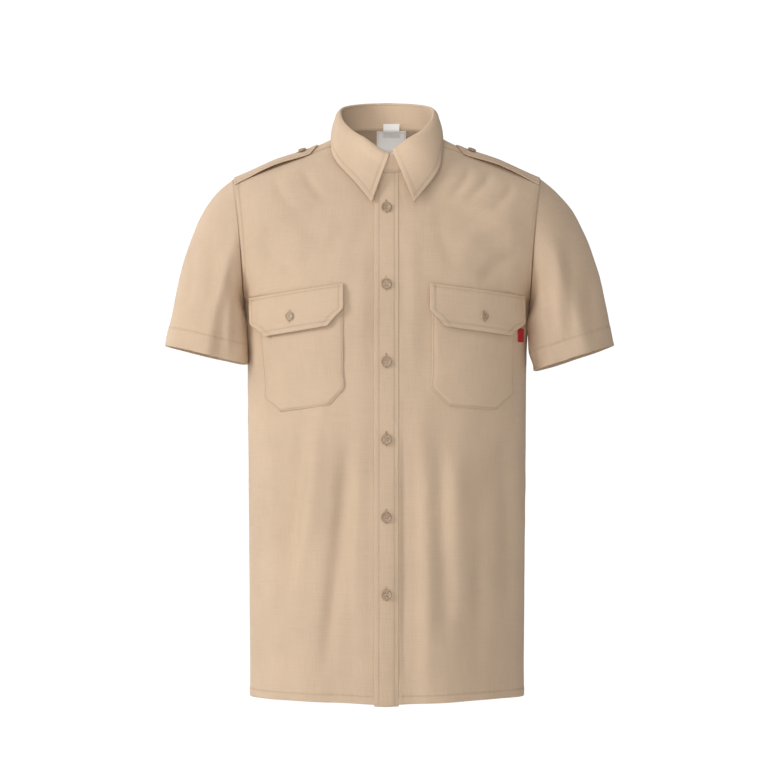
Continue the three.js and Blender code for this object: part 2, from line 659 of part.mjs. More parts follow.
/** The headings and handle lengths of the line down a sleeve, at its armhole and at its hem. */
function sleeveHandles({ cap, drop }, phi) {
  const turn = radians(phi);
  const up = Math.max(Math.cos(turn), 0) ** 2;
  const under = Math.max(-Math.cos(turn), 0) ** 2;
  const level = Math.sin(turn) ** 2;
  const start = point(0, 0, 0)
    .addScaledVector(CAP_HEADING.top, up)
    .addScaledVector(CAP_HEADING.level, level)
    .addScaledVector(CAP_HEADING.under, under);
  start.y *= Math.sign(phi);
  const lean = radians(SLEEVE_LEAN * (up + SIDE_LEAN * level));
  const end = point(-Math.sin(lean), 0, Math.cos(lean));
  return {
    start: start.multiplyScalar(mix(CAP_SIDE.start, cap, up)),
    end: end.multiplyScalar(mix(CAP_SIDE.end, drop, up)),
  };
}

/** How far the folds of a sleeve move its cloth out, at an angle and a share of the way down. */
function sleeveFoldsOut(folds, phi, down) {
  const strength = smoothstep(down, SLEEVE_FOLD_START.none, SLEEVE_FOLD_START.full);
  const nearHem = smoothstep(down, SLEEVE_FOLD_END, 1);
  return folds.reduce((sum, fold) => {
    const left = strength * mix(1, fold.atHem ?? 1, nearHem);
    return sum + left * fold.out * bell(phi - fold.phi, fold.half);
  }, 0);
}

/** A sleeve, from its hem up to the armhole. */
function makeSleeve(sleeve) {
  const { side } = sleeve;
  const folds = SLEEVE_FOLDS.filter((fold) => fold.side === side);
  const grid = steps(SLEEVE_ROWS).map((t) => {
    const down = 1 - sleeveShare(t);
    const ring = armholeAngles().map((phi) => {
      const start = armhole(phi);
      const end = hemRing(sleeve, phi);
      const handles = sleeveHandles(sleeve, phi);
      const at = cubic([start, start.clone().add(handles.start), end.clone().add(handles.end), end], down);
      const round = phi < 0 ? phi + 360 : phi;
      const outward = point(Math.cos(radians(phi)), -Math.sin(radians(phi)), 0);
      at.addScaledVector(outward, sleeveFoldsOut(folds, round, down));
      at.x *= side;
      return at;
    });
    return side > 0 ? ring : ring.reverse();
  });
  return new Piece(grid, true);
}

/** Rows of the sleeve: the first few close together at the turned hem, the rest even. */
function sleeveShare(t) {
  const turned = SLEEVE_TURN.rows / SLEEVE_ROWS;
  if (t <= turned) return (SLEEVE_TURN.share * t) / turned;
  return mix(SLEEVE_TURN.share, 1, (t - turned) / (1 - turned));
}

/** The angles round the neck at which the stand and its neighbours share points, with both lapping ends. */
function neckAngles() {
  const front = steps(NECK_ROWS).map((t) => mix(BAND_NECK_DEG, YOKE_NECK_DEG, t));
  const shoulder = steps(TOP_ARM_COLUMNS).map((t) => mix(YOKE_NECK_DEG, YOKE_BACK_NECK_DEG, t));
  const behind = steps(BACK_COLUMNS / 2).map((t) => mix(YOKE_BACK_NECK_DEG, 180, t));
  const half = [-BAND_NECK_DEG, 0, ...front, ...shoulder.slice(1), ...behind.slice(1)];
  return [...half, ...half.slice(0, -1).reverse().map((deg) => 360 - deg)];
}

/** The stand's face at an angle and a share of its height, with the two ends lapped at the front. */
function standPlace(deg, share) {
  const around = radians(deg);
  const station = neckStation(Math.max(Math.min(deg, 360 - deg), 0));
  const onTop = smoothstep(3 * BAND_NECK_DEG - deg, 0, 2 * BAND_NECK_DEG);
  const below = smoothstep(deg - 360 + 3 * BAND_NECK_DEG, 0, 2 * BAND_NECK_DEG);
  const lap = STAND_LAP * (onTop - below);
  const reach = 1 - STAND_LEAN * share;
  const x = (NECK.half * reach + lap) * Math.sin(around);
  const y = NECK.centreY - (NECK.reach * reach + lap) * Math.cos(around);
  return point(x, y, station.seam + STAND_FOOT + (station.stand - STAND_FOOT) * share);
}

/** The collar stand: a ring round the neck whose ends lap at the centre front, the wearer's left on top. */
function makeStand() {
  const angles = neckAngles();
  return new Piece(steps(3).map((t) => angles.map((deg) => standPlace(deg, t))));
}

/** Where a straight line through a point meets the cloth, moved back off it. */
function layOn(ground, through, heading, off) {
  const from = through.clone().addScaledVector(heading, -FAR);
  const hit = [0, 1, -1]
    .map((nudge) => new THREE.Raycaster(from.clone().add(point(nudge, 0, nudge)), heading))
    .map((ray) => ray.intersectObjects(ground, false)[0])
    .find((found) => found);
  const slant = Math.max(-hit.face.normal.dot(heading), LEAST_SLANT);
  return hit.point.addScaledVector(heading, -off / slant);
}

const BACKWARDS = point(0, 1, 0);
const DOWNWARDS = point(0, 0, -1);

/** The collar leaf: up from the stand, over the roll, and down to the free edge and its points. */
function makeLeaf(ground) {
  const lines = steps(LEAF_COLUMNS).map((t) => {
    const deg = mix(360 - LEAF_START_DEG, LEAF_START_DEG, t);
    const half = Math.min(deg, 360 - deg);
    const side = deg > 180 ? -1 : 1;
    const edge = leafEdge(half);
    const nearFront = LEAF_SHIFT * smoothstep(LEAF_FRONT.start - half, 0, LEAF_FRONT.start - LEAF_FRONT.full);
    const turned = LEAF_MIDDLE_DEG * smoothstep(LEAF_TURNED_DEG - half, 0, LEAF_TURNED_DEG);
    const top = standPlace(deg + turned, 1);
    const heading = point(0, Math.cos(radians(edge.down)), -Math.sin(radians(edge.down)));
    const guide = point(side * edge.x + nearFront, edge.y, edge.z);
    const free = layOn(ground, guide, heading, edge.off + COLLAR_CLOTH);
    const lapped = smoothstep(LEAF_TURNED_DEG - half, 0, LEAF_TURNED_DEG / 2);
    const over = side < 0 ? 2 * STAND_LAP * lapped : 0;
    return { top, free, over, away: point(Math.sin(radians(deg)), -Math.cos(radians(deg)), 0) };
  });
  const roll = (up, out, share) =>
    lines.map(({ top, away, over }) => {
      const raised = top.clone().add(point(0, 0, up));
      return raised.addScaledVector(away, out + share * over);
    });
  const fall = (t) =>
    lines.map(({ top, away, over, free }) => {
      const raised = top.clone().add(point(0, 0, LEAF_RISE - LEAF_CORNER.down));
      const start = raised.addScaledVector(away, LEAF_CORNER.out + over);
      return start.lerp(free, t).addScaledVector(away, LEAF_BOW * Math.sin(Math.PI * t));
    });
  return new Piece([
    roll(2 * SEAM_GAP, -COLLAR_CLOTH, 0),
    roll(LEAF_RISE - LEAF_CORNER.down, -COLLAR_CLOTH, 0.2),
    roll(LEAF_RISE, 0.4, 0.6),
    fall(0),
    fall(1 / 3),
    fall(2 / 3),
    fall(1),
  ]);
}

/** A patch on a front, with clipped lower corners and sloping edges, lifted off the front by height. */
function patch(ground, side, shape, lift) {
  const clip = shape.mitre / (shape.top - shape.foot);
  const rows = [0, clip / 2, ...steps(PATCH_ROWS - 2).map((t) => mix(clip, 1, t))];
  const grid = rows.map((share) => {
    const inset = shape.mitre * Math.max(1 - share / clip, 0);
    return steps(PATCH_COLUMNS).map((s) => {
      const x = mix(shape.inner + inset, shape.outer - shape.taper * (1 - share) - inset, s);
      const slope = mix(shape.low, shape.high, share);
      const z = mix(shape.foot, shape.top, share) - slope * (x - shape.inner);
      return layOn(ground, point(side * x, 0, z), BACKWARDS, CLOTH + lift(share));
    });
  });
  return new Piece(side > 0 ? grid : grid.map((row) => row.reverse()));
}

/** A shoulder strap: from the sleeve seam to a pointed end by the collar, arched over the shoulder. */
function makeStrap(ground, side) {
  const grid = steps(STRAP_COLUMNS).map((s) =>
    STRAP_STATIONS.map((t) => {
      const ahead = STRAP_FORWARD + mix(1, -1, s) * mix(STRAP.neckHalf, STRAP.sleeveHalf, t);
      const cutBack = STRAP.tipDepth * Math.abs(2 * s - 1) * (1 - t);
      const seam = armhole(degrees(Math.asin(ahead / ARMHOLE.ahead))).x;
      const x = mix(STRAP.tipX + cutBack, seam - 2 * SEAM_GAP, t);
      const lift = STRAP.lift + STRAP.arch * Math.sin(Math.PI * t) ** 2;
      return layOn(ground, point(side * x, -ahead, 0), DOWNWARDS, STRAP.wall + lift);
    }),
  );
  return new Piece(side > 0 ? grid : grid.map((row) => row.reverse()));
}

/** A small label inside the back of the neck, which follows the cloth behind it. */
function makeLabel(ground, { half, top, foot, off, wall }) {
  const grid = steps(4).map((t) =>
    steps(4).map((s) =>
      layOn(ground, point(LABEL_X + mix(-half, half, s), FAR, mix(foot, top, t)), BACKWARDS, off + wall),
    ),
  );
  return new Piece(grid);
}

/** The small tab at the outer edge of the wearer's left pocket. */
function makePenTab(ground) {
  const grid = steps(2).map((t) =>
    steps(2).map((s) => {
      const x = PEN_TAB.x + mix(-PEN_TAB.width / 2, PEN_TAB.width / 2, s);
      return layOn(ground, point(x, 0, mix(PEN_TAB.foot, PEN_TAB.top, t)), BACKWARDS, PEN_TAB.wall + LAY_GAP);
    }),
  );
  return new Piece(grid);
}

/** A round button with a raised rim and a dished middle, standing on its axis. */
function buttonShape({ radius, thick, rim, dish }) {
  const profile = [
    [0, 0],
    [radius * BUTTON_FORM.back, 0],
    [radius, thick * BUTTON_FORM.low],
    [radius, thick * BUTTON_FORM.high],
    [radius - rim * BUTTON_FORM.crown, thick],
    [radius - rim, thick],
    [radius - rim * BUTTON_FORM.slope, thick - dish],
    [0, thick - dish],
  ];
  return new THREE.LatheGeometry(profile.map(([r, h]) => new THREE.Vector2(r, h)), BUTTON_SIDES);
}

/** A button set on the cloth where a straight line meets it, facing out of it. */
function setButton(name, shape, ground, through, heading) {
  const mesh = part(name, buttonShape(shape), HORN);
  const face = layOn(ground, through, heading, LAY_GAP);
  const spread = shape.radius * BUTTON_SEAT;
  const right = layOn(ground, through.clone().add(point(spread, 0, 0)), heading, LAY_GAP);
  const across = heading.y > 0 ? point(0, 0, spread) : point(0, spread, 0);
  const beyond = layOn(ground, through.clone().add(across), heading, LAY_GAP);
  const out = right.sub(face).cross(beyond.sub(face)).normalize();
  mesh.quaternion.setFromUnitVectors(point(0, 1, 0), out);
  mesh.position.copy(face);
  return mesh;
}

const SHIRTING = { color: 0xcbb190, roughness: 0.85, metalness: 0 };
const HORN = { color: 0xa58a6c, roughness: 0.45, metalness: 0 };
const LABEL_WHITE = { color: 0xe9e6e2, roughness: 0.6, metalness: 0 };
const TAB_RED = { color: 0xa8151f, roughness: 0.6, metalness: 0 };

/** A mesh with a name and its own material. */
function part(name, geometry, finish = SHIRTING) {
  const mesh = new THREE.Mesh(geometry, new THREE.MeshStandardMaterial(finish));
  mesh.name = name;
  return mesh;
}

const leftFront = makeLeftFront();
const rightFront = makeRightFront();
const back = makeBack();
const yoke = makeYoke();
const sleeves = SLEEVES.map(makeSleeve);
sewTogether([leftFront, rightFront, back, yoke, ...sleeves]);

const frontLeft = part("front_left", hemmedWall(leftFront, HEM_EXTRA));
const frontRight = part("front_right", hemmedWall(rightFront, HEM_EXTRA));
const placket = part("placket", makePlacket().wall(PLACKET_CLOTH));
const yokeMesh = part("yoke", yoke.wall(CLOTH));
const standMesh = part("collar_stand", makeStand().wall(COLLAR_CLOTH));
const chestCloth = [frontLeft, frontRight, placket];
const neckCloth = [...chestCloth, yokeMesh];

const shirt = new THREE.Group();
shirt.add(frontLeft, frontRight, placket, yokeMesh, standMesh);
shirt.add(part("back", hemmedWall(back, HEM_EXTRA)));
SLEEVES.forEach(({ name }, i) => shirt.add(part(name, hemmedWall(sleeves[i], SLEEVE_HEM.extra))));
shirt.add(part("collar_leaf", makeLeaf(neckCloth).wall(COLLAR_CLOTH)));

for (const { side, word, pocket, flap } of CHEST) {
  const bag = part(`pocket_${word}`, patch(chestCloth, side, pocket, () => PATCH_GAP).wall(CLOTH));
  const open = (share) =>
    PATCH_GAP + (CLOTH + PATCH_GAP) * smoothstep(1 - share, 0, FLAP_STEP) + FLAP_LIFT * (1 - share) ** 1.5;
  const cover = part(`flap_${word}`, patch(chestCloth, side, flap, open).wall(CLOTH));
  const strap = part(`strap_${word}`, makeStrap(neckCloth, side).wall(STRAP.wall));
  const onFlap = point(side * FLAP_BUTTON.x, 0, FLAP_BUTTON.z);
  const onStrap = point(side * STRAP_BUTTON.x, STRAP_BUTTON.y, 0);
  shirt.add(bag, cover, strap);
  shirt.add(setButton(`button_flap_${word}`, SMALL_BUTTON, [cover], onFlap, BACKWARDS));
  shirt.add(setButton(`button_strap_${word}`, SMALL_BUTTON, [strap], onStrap, DOWNWARDS));
}
for (let i = 0; i < FRONT_BUTTONS; i += 1) {
  const through = point(BUTTON_X, 0, FIRST_BUTTON_Z - BUTTON_PITCH * i);
  shirt.add(setButton(`button_front_${i + 1}`, BUTTON, [placket], through, BACKWARDS));
}
shirt.add(part("label_main", makeLabel([yokeMesh, standMesh], LABEL).wall(LABEL.wall), LABEL_WHITE));
shirt.add(part("label_small", makeLabel([yokeMesh, standMesh], SIZE_TAB).wall(SIZE_TAB.wall), LABEL_WHITE));
shirt.add(part("pocket_tab", makePenTab(chestCloth).wall(PEN_TAB.wall), TAB_RED));

export default shirt;
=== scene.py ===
"""Looks of a short-sleeved khaki work shirt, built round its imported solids, in metres."""
import logging
import math
from collections.abc import Callable
from dataclasses import dataclass, field
from enum import Enum

import bmesh
import bpy
import numpy as np
from mathutils import Matrix, Vector


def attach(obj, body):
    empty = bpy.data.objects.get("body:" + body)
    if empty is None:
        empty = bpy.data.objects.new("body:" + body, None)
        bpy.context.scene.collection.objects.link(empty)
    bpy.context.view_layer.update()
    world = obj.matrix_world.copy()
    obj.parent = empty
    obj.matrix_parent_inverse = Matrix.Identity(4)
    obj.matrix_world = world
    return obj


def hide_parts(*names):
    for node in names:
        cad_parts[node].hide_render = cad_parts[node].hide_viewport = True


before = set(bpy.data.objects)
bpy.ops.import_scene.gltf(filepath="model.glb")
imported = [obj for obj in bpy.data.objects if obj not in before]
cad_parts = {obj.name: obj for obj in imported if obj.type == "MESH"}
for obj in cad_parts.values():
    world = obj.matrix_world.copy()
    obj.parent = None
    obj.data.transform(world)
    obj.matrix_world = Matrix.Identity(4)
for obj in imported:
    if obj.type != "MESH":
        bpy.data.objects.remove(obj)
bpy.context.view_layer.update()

Triple = tuple[float, float, float]
Socket = bpy.types.NodeSocket

LOG = logging.getLogger("work_shirt")
MM = 0.001
SEED = 7
TORSO = (0.0, 0.0, -0.4)
UPWARDS = (0.0, 0.0, 1.0)
UNDERARM_Z = -0.224
RIM_EDGE = 0.0029  # edges of a solid shorter than this are its wall's thickness
ROLL_ANGLE = math.cos(math.radians(77))  # the collar leaf's edges are sharper corners than this
SEAM_CLOSE = 0.0003  # that a sewn edge grows, to close the gap between two solids


class Side(Enum):
    """The four sides of a piece of cloth."""

    LOW = "low"
    HIGH = "high"
    LEFT = "left"
    RIGHT = "right"

    @property
    def upright(self) -> bool:
        """Whether the side runs across the rows, from the lowest to the highest."""
        return self in (Side.LEFT, Side.RIGHT)

    @property
    def last(self) -> bool:
        """Whether the side is the end of the rows or columns, and not their start."""
        return self in (Side.HIGH, Side.RIGHT)

    def line(self, depth: int = 0) -> tuple[slice | int, ...]:
        """Picks out the points along the side.

        Args:
            depth: how many points further in the line lies.

        Returns:
            The index of the line in an array of rows and columns.
        """
        place = -1 - depth if self.last else depth
        return (slice(None), place) if self.upright else (place,)


class Facing(Enum):
    """The way that the cloth under a crease faces, as width and depth."""

    FRONT = (0, -1)
    BACK = (0, 1)
    LEFT = (1, 0)
    RIGHT = (-1, 0)


class Held(Enum):
    """How a sheet of cloth is held."""

    DRAPED = "draped"
    LAID = "laid"
    FOLDED = "folded"


class Slot(Enum):
    """The record's material slots."""

    SHIRTING = "shirting"
    BUTTON = "button"
    LABEL = "label"
    TAB = "tab"


def smooth(value: np.ndarray, low: float, high: float) -> np.ndarray:
    """Rises smoothly from 0 at low to 1 at high."""
    t = np.clip((value - low) / (high - low), 0, 1)
    return t * t * (3 - 2 * t)


def unit(vectors: np.ndarray) -> np.ndarray:
    """The vectors, each at length 1."""
    return vectors / np.maximum(np.linalg.norm(vectors, axis=-1, keepdims=True), 1e-12)


@dataclass(frozen=True)
class Pitch:
    """Distances between the rows of a fine surface: wide in its middle, fine near its ends."""

    wide: float
    fine: float
    low: float = 0.0
    high: float = 0.0

    def marks(self, total: float) -> np.ndarray:
        """Spaces out the rows.

        Args:
            total: the length that they cover.

        Returns:
            Their places, from 0 to the total.
        """
        marks = [0.0]
        while marks[-1] < total:
            near = marks[-1] < self.low or marks[-1] > total - self.high
            marks.append(marks[-1] + (self.fine if near else self.wide))
        return np.array(marks) * total / marks[-1]


def hermite(points: np.ndarray, pitch: Pitch) -> np.ndarray:
    """A smooth surface through rows of points, sampled afresh along its first axis.

    Args:
        points: rows of points, as an array of rows, columns and 3.
        pitch: how far apart the new rows are.

    Returns:
        The new rows.
    """
    steps = np.linalg.norm(np.diff(points, axis=0), axis=2).mean(1)
    knots = np.concatenate([[0], np.cumsum(steps)])
    rates = np.diff(points, axis=0) / steps[:, None, None]
    before, after = steps[:-1, None, None], steps[1:, None, None]
    inner = (after * rates[:-1] + before * rates[1:]) / (before + after)
    slopes = np.concatenate([rates[:1], inner, rates[-1:]])
    at = pitch.marks(knots[-1])
    i = np.clip(np.searchsorted(knots, at, side="right") - 1, 0, len(steps) - 1)
    step = steps[i][:, None, None]
    t = ((at - knots[i]) / steps[i])[:, None, None]
    rest = 1 - t
    return (points[i] * (1 + 2 * t) * rest**2 + slopes[i] * step * t * rest**2
            + points[i + 1] * t**2 * (3 - 2 * t) - slopes[i + 1] * step * t**2 * rest)


@dataclass(frozen=True)
class SolidGrid:
    """Reads the outer face of a packed wall of cloth as rows and columns of points."""

    node: str
    centre: Triple | None
    up: Triple
    rolled: bool = False

    def read(self) -> tuple[np.ndarray, bool]:
        """The points of the outer face.

        Returns:
            The points as rows, columns and 3, and whether the last column joins the first.
        """
        points, corners = self._triangles()
        a, b, c = (points[corners[:, k]] for k in range(3))
        turned = np.cross(b - a, c - a)
        area, normal = np.linalg.norm(turned, axis=1) / 2, unit(turned)
        lengths = np.stack([np.linalg.norm(points[corners[:, k]] - points[corners[:, (k + 1) % 3]], axis=1)
                            for k in range(3)], 1)
        rim = lengths.min(1) < RIM_EDGE
        ways = {(t[k], t[(k + 1) % 3]): (f, k) for f, t in enumerate(corners) for k in range(3)}
        beyond = [[ways.get((t[(k + 1) % 3], t[k])) for k in range(3)] for t in corners]

        def joined(f: int, g: int) -> bool:
            """Whether two neighbours lie on one face of the wall."""
            return normal[f] @ normal[g] > ROLL_ANGLE if self.rolled else rim[f] == rim[g]

        faces = sorted(self._regions(beyond, joined), key=lambda face: -area[face].sum())[:2]
        middle = (a + b + c) / 3
        centre = points.mean(0) if self.centre is None else np.array(self.centre)
        pull = area * ((middle - centre) * normal).sum(1)
        outer = max(faces, key=lambda face: pull[face].sum())
        return self._rows(points, corners, beyond, set(outer), min(outer, key=lambda f: tuple(middle[f])))

    def _triangles(self) -> tuple[np.ndarray, np.ndarray]:
        """Reads the solid's mesh.

        Returns:
            The solid's points, each once, and the corners of its triangles.
        """
        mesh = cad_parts[self.node].data
        mesh.calc_loop_triangles()
        raw = np.array([v.co for v in mesh.vertices], float)
        corners = np.array([t.vertices for t in mesh.loop_triangles])
        points, which = np.unique(np.round(raw, 6), axis=0, return_inverse=True)
        return points, which.reshape(-1)[corners]

    @staticmethod
    def _regions(beyond: list, joined: Callable[[int, int], bool]) -> list[list[int]]:
        """Groups the triangles that join each other.

        Args:
            beyond: for each triangle, its neighbour and that one's edge, over each of its edges.
            joined: whether two neighbours belong together.

        Returns:
            The groups, as lists of triangles.
        """
        found, seen = [], set()
        for seed in range(len(beyond)):
            if seed in seen:
                continue
            seen.add(seed)
            todo, face = [seed], []
            while todo:
                f = todo.pop()
                face.append(f)
                for other in beyond[f]:
                    if other and other[0] not in seen and joined(f, other[0]):
                        seen.add(other[0])
                        todo.append(other[0])
            found.append(face)
        return found

    def _rows(self, points: np.ndarray, corners: np.ndarray, beyond: list, inside: set[int],
              seed: int) -> tuple[np.ndarray, bool]:
        """Gives each point of a face its row and column.

        Args:
            points: the solid's points.
            corners: its triangles.
            beyond: their neighbours.
            inside: the triangles of the face.
            seed: the triangle to start from.

        Returns:
            The face as rows, columns and 3, and whether the last column joins the first.
        """
        for shift in range(3):
            place, wrap = self._walk(corners, beyond, inside, seed, shift)
            keys = np.array(list(place))
            cells = np.array(list(place.values()))
            axis = None
            if wrap is not None:
                if 0 not in wrap:
                    continue
                axis = int(np.argmax(np.abs(wrap)))
                cells[:, axis] %= abs(wrap[axis])
            cells -= cells.min(0)
            shape = cells.max(0) + 1
            if shape.prod() == len(cells) == len({tuple(x) for x in cells}):
                grid = np.zeros((*shape, 3))
                grid[cells[:, 0], cells[:, 1]] = points[keys]
                return self._turned(grid, axis), axis is not None
        raise ValueError(f"{self.node} is not one grid of cloth")

    @staticmethod
    def _walk(corners: np.ndarray, beyond: list, inside: set[int], seed: int,
              shift: int) -> tuple[dict, np.ndarray | None]:
        """Walks over a face and counts rows and columns from a first triangle.

        Args:
            corners: the solid's triangles.
            beyond: their neighbours.
            inside: the triangles of the face.
            seed: the first triangle.
            shift: which of its edges is taken as a row.

        Returns:
            The place of each point, and the step that leads round the face, if it is a tube.
        """
        step = np.array([(0, 1), (1, 0), (-1, -1)])
        place = {corners[seed][0]: np.zeros(2, int)}
        todo, done, wrap = [(seed, shift, 1)], {seed}, None
        for f, s, sign in todo:
            t = corners[f]
            start = next(k for k in range(3) if t[k] in place)
            here = place[t[start]]
            for k in ((start + n) % 3 for n in range(3)):
                here = here + sign * step[(k + s) % 3]
                known = place.setdefault(t[(k + 1) % 3], here)
                if any(known != here):
                    wrap = here - known
                    here = known
            for k, other in enumerate(beyond[f]):
                if other and other[0] in inside and other[0] not in done:
                    done.add(other[0])
                    todo.append((other[0], (k + s - other[1]) % 3, -sign))
        return place, wrap

    def _turned(self, grid: np.ndarray, axis: int | None) -> np.ndarray:
        """Turns a grid so that its rows rise and its columns run to the left, seen from outside.

        Args:
            grid: the points.
            axis: the axis that goes round, if it is a tube.

        Returns:
            The turned grid.
        """
        up = np.array(self.up)
        climb = [float(np.diff(grid, axis=k).sum((0, 1)) @ up) / grid.shape[1 - k] for k in (0, 1)]
        rising = 1 - axis if axis is not None else int(np.argmax(np.abs(climb)))
        if rising == 1:
            grid = grid.transpose(1, 0, 2)[:, ::-1]
        if climb[rising] < 0:
            grid = grid[::-1, ::-1]
        if axis is not None:
            grid = np.roll(grid, -int(np.argmin(grid[-1, :, 2])), axis=1)
        return grid


@dataclass(frozen=True)
class Crease:
    """A soft ridge, or a trough if its height is minus, along a bowed line. Millimetres.

    Its ends are widths and heights on a front or a back, and depths and heights on a side. It fades in
    between its two fade shares of the line, at either end, and where the cloth turns away.
    """

    a0: float
    z0: float
    a1: float
    z1: float
    bow: float
    width: float
    height: float
    facing: Facing = Facing.FRONT
    fade: tuple[float, float] = (-0.1, 0.3)
    turn: float = 0.3

    def lift(self, points: np.ndarray, outs: np.ndarray) -> np.ndarray:
        """Works out the crease's height.

        Args:
            points: the points of the cloth.
            outs: the way out of the cloth at each.

        Returns:
            How far the crease moves each point out, in metres.
        """
        start = np.array((self.a0, self.z0)) * MM
        run = np.array((self.a1, self.z1)) * MM - start
        length = np.linalg.norm(run)
        seen = points[..., [0 if self.facing.value[1] else 1, 2]] - start
        share = seen @ run / length**2
        off = (seen @ np.array((-run[1], run[0]))) / length - 4 * self.bow * MM * share * (1 - share)
        taper = smooth(share, *self.fade) * smooth(1 - share, *self.fade)
        here = smooth(outs[..., :2] @ np.array(self.facing.value), 0.0, self.turn)
        return self.height * MM * np.exp(-((off / (self.width * MM)) ** 2)) * taper * here


@dataclass(frozen=True)
class Seam:
    """A row of stitches along a side of a piece, with the cloth's step and pucker there. Metres."""

    side: Side
    inset: float
    step: float = 0.0
    dip: float = 0.00022
    pucker: float = 0.00012
    trim: tuple[float, float] = (0.0, 0.0)
    above: float = -9.0


@dataclass(frozen=True)
class Hand:
    """How the shirt's cloth behaves at its edges and seams, how unevenly it lies, and how much shade is
    painted into its seams. Metres.
    """

    calm: float = 0.006
    waves: int = 7
    wave_lengths: tuple[float, float] = (0.035, 0.09)
    wave_shares: tuple[float, float] = (0.3, 0.6)
    wave_start: float = 6.0
    press_reach: float = 0.005
    hang_reach: float = 0.035
    valley_reach: float = 0.0013
    # painted shade: how dark a seam's valley is painted, for each metre of its depth, and how far that
    # reaches
    painted_valley_shade: float = 320.0
    painted_shade_reach: float = 0.0016
    seam_fade: float = 0.004
    step_reach: float = 0.0007
    stitch_reach: float = 0.0011
    # painted shade: how much darker the cloth is painted under a row of stitches
    painted_stitch_shade: float = 0.10
    pucker_length: float = 0.0085
    pucker_reach: float = 0.0048
    pucker_drift: float = 2.2
    pucker_turn: float = 120.0
    pucker_shift: float = 3.0
    least_slant: float = 0.4
    edge_round: float = 0.4


@dataclass
class Shading:
    """The nodes of one material, each added and joined with one call."""

    material: bpy.types.Material

    def __post_init__(self) -> None:
        """Turns the material's nodes on, with its shader and its places."""
        self.material.use_nodes = True
        self.tree = self.material.node_tree
        self.shader = self.tree.nodes["Principled BSDF"]
        self.where = self.tree.nodes.new("ShaderNodeTexCoord")

    def feed(self, node: bpy.types.Node, inputs: dict[str | int, Socket | float | Triple]) -> None:
        """Sets a node's inputs, or joins them to the outputs that feed them.

        Args:
            node: the node.
            inputs: a value or an output for each input.
        """
        for name, value in inputs.items():
            if isinstance(value, Socket):
                self.tree.links.new(value, node.inputs[name])
            else:
                node.inputs[name].default_value = value

    def add(self, kind: str, inputs: dict, output: str | int = 0, operation: str = "") -> Socket:
        """Adds a node.

        Args:
            kind: the node's type.
            inputs: a value or an output for each input.
            output: which output is wanted.
            operation: what the node works out, where it has a choice.

        Returns:
            The wanted output.
        """
        node = self.tree.nodes.new(kind)
        if operation:
            node.operation = operation
        self.feed(node, inputs)
        return node.outputs[output]

    def noise(self, places: str, stretch: Triple, detail: float) -> Socket:
        """Adds a noise texture.

        Args:
            places: the kind of coordinates that it follows.
            stretch: its scale in three directions.
            detail: its detail.

        Returns:
            Its factor.
        """
        moved = self.add("ShaderNodeMapping", {"Scale": stretch, "Vector": self.where.outputs[places]})
        return self.add("ShaderNodeTexNoise", {"Scale": 1.0, "Detail": detail, "Vector": moved}, "Fac")

    def ramp(self, factor: Socket, ends: tuple[float, float], colours: tuple[Triple, Triple]) -> Socket:
        """Turns a factor into a colour.

        Args:
            factor: the factor.
            ends: the factors at which the two colours are pure.
            colours: the two colours.

        Returns:
            The colour.
        """
        node = self.tree.nodes.new("ShaderNodeValToRGB")
        for element, place, colour in zip(node.color_ramp.elements, ends, colours):
            element.position = place
            element.color = (*colour, 1)
        self.feed(node, {"Fac": factor})
        return node.outputs["Color"]

    def bump(self, height: Socket, strength: float, depth: float, over: dict | None = None) -> Socket:
        """Adds a bump.

        Args:
            height: what it follows.
            strength: its strength.
            depth: its depth, in metres.
            over: the normal that it is laid over, if there is one.

        Returns:
            The bumped normal.
        """
        inputs = {"Strength": strength, "Distance": depth, "Height": height, **(over or {})}
        return self.add("ShaderNodeBump", inputs, "Normal")

    def times(self, colour: Socket, factor: Socket) -> Socket:
        """A colour multiplied by a factor."""
        return self.add("ShaderNodeVectorMath", {0: colour, "Scale": factor}, "Vector", "SCALE")

    def attribute(self, name: str) -> Socket:
        """Reads what a mesh carries for each point.

        Args:
            name: the attribute's name.

        Returns:
            Its factor.
        """
        node = self.tree.nodes.new("ShaderNodeAttribute")
        node.attribute_name = name
        return node.outputs["Fac"]


def named_material(name: str, dress: Callable[[Shading], None]) -> bpy.types.Material:
    """Gives the material of a name.

    Args:
        name: the name.
        dress: what adds its nodes when it is first made.

    Returns:
        The material.
    """
    made = bpy.data.materials.get(name)
    if not made:
        made = bpy.data.materials.new(name)
        dress(Shading(made))
    return made


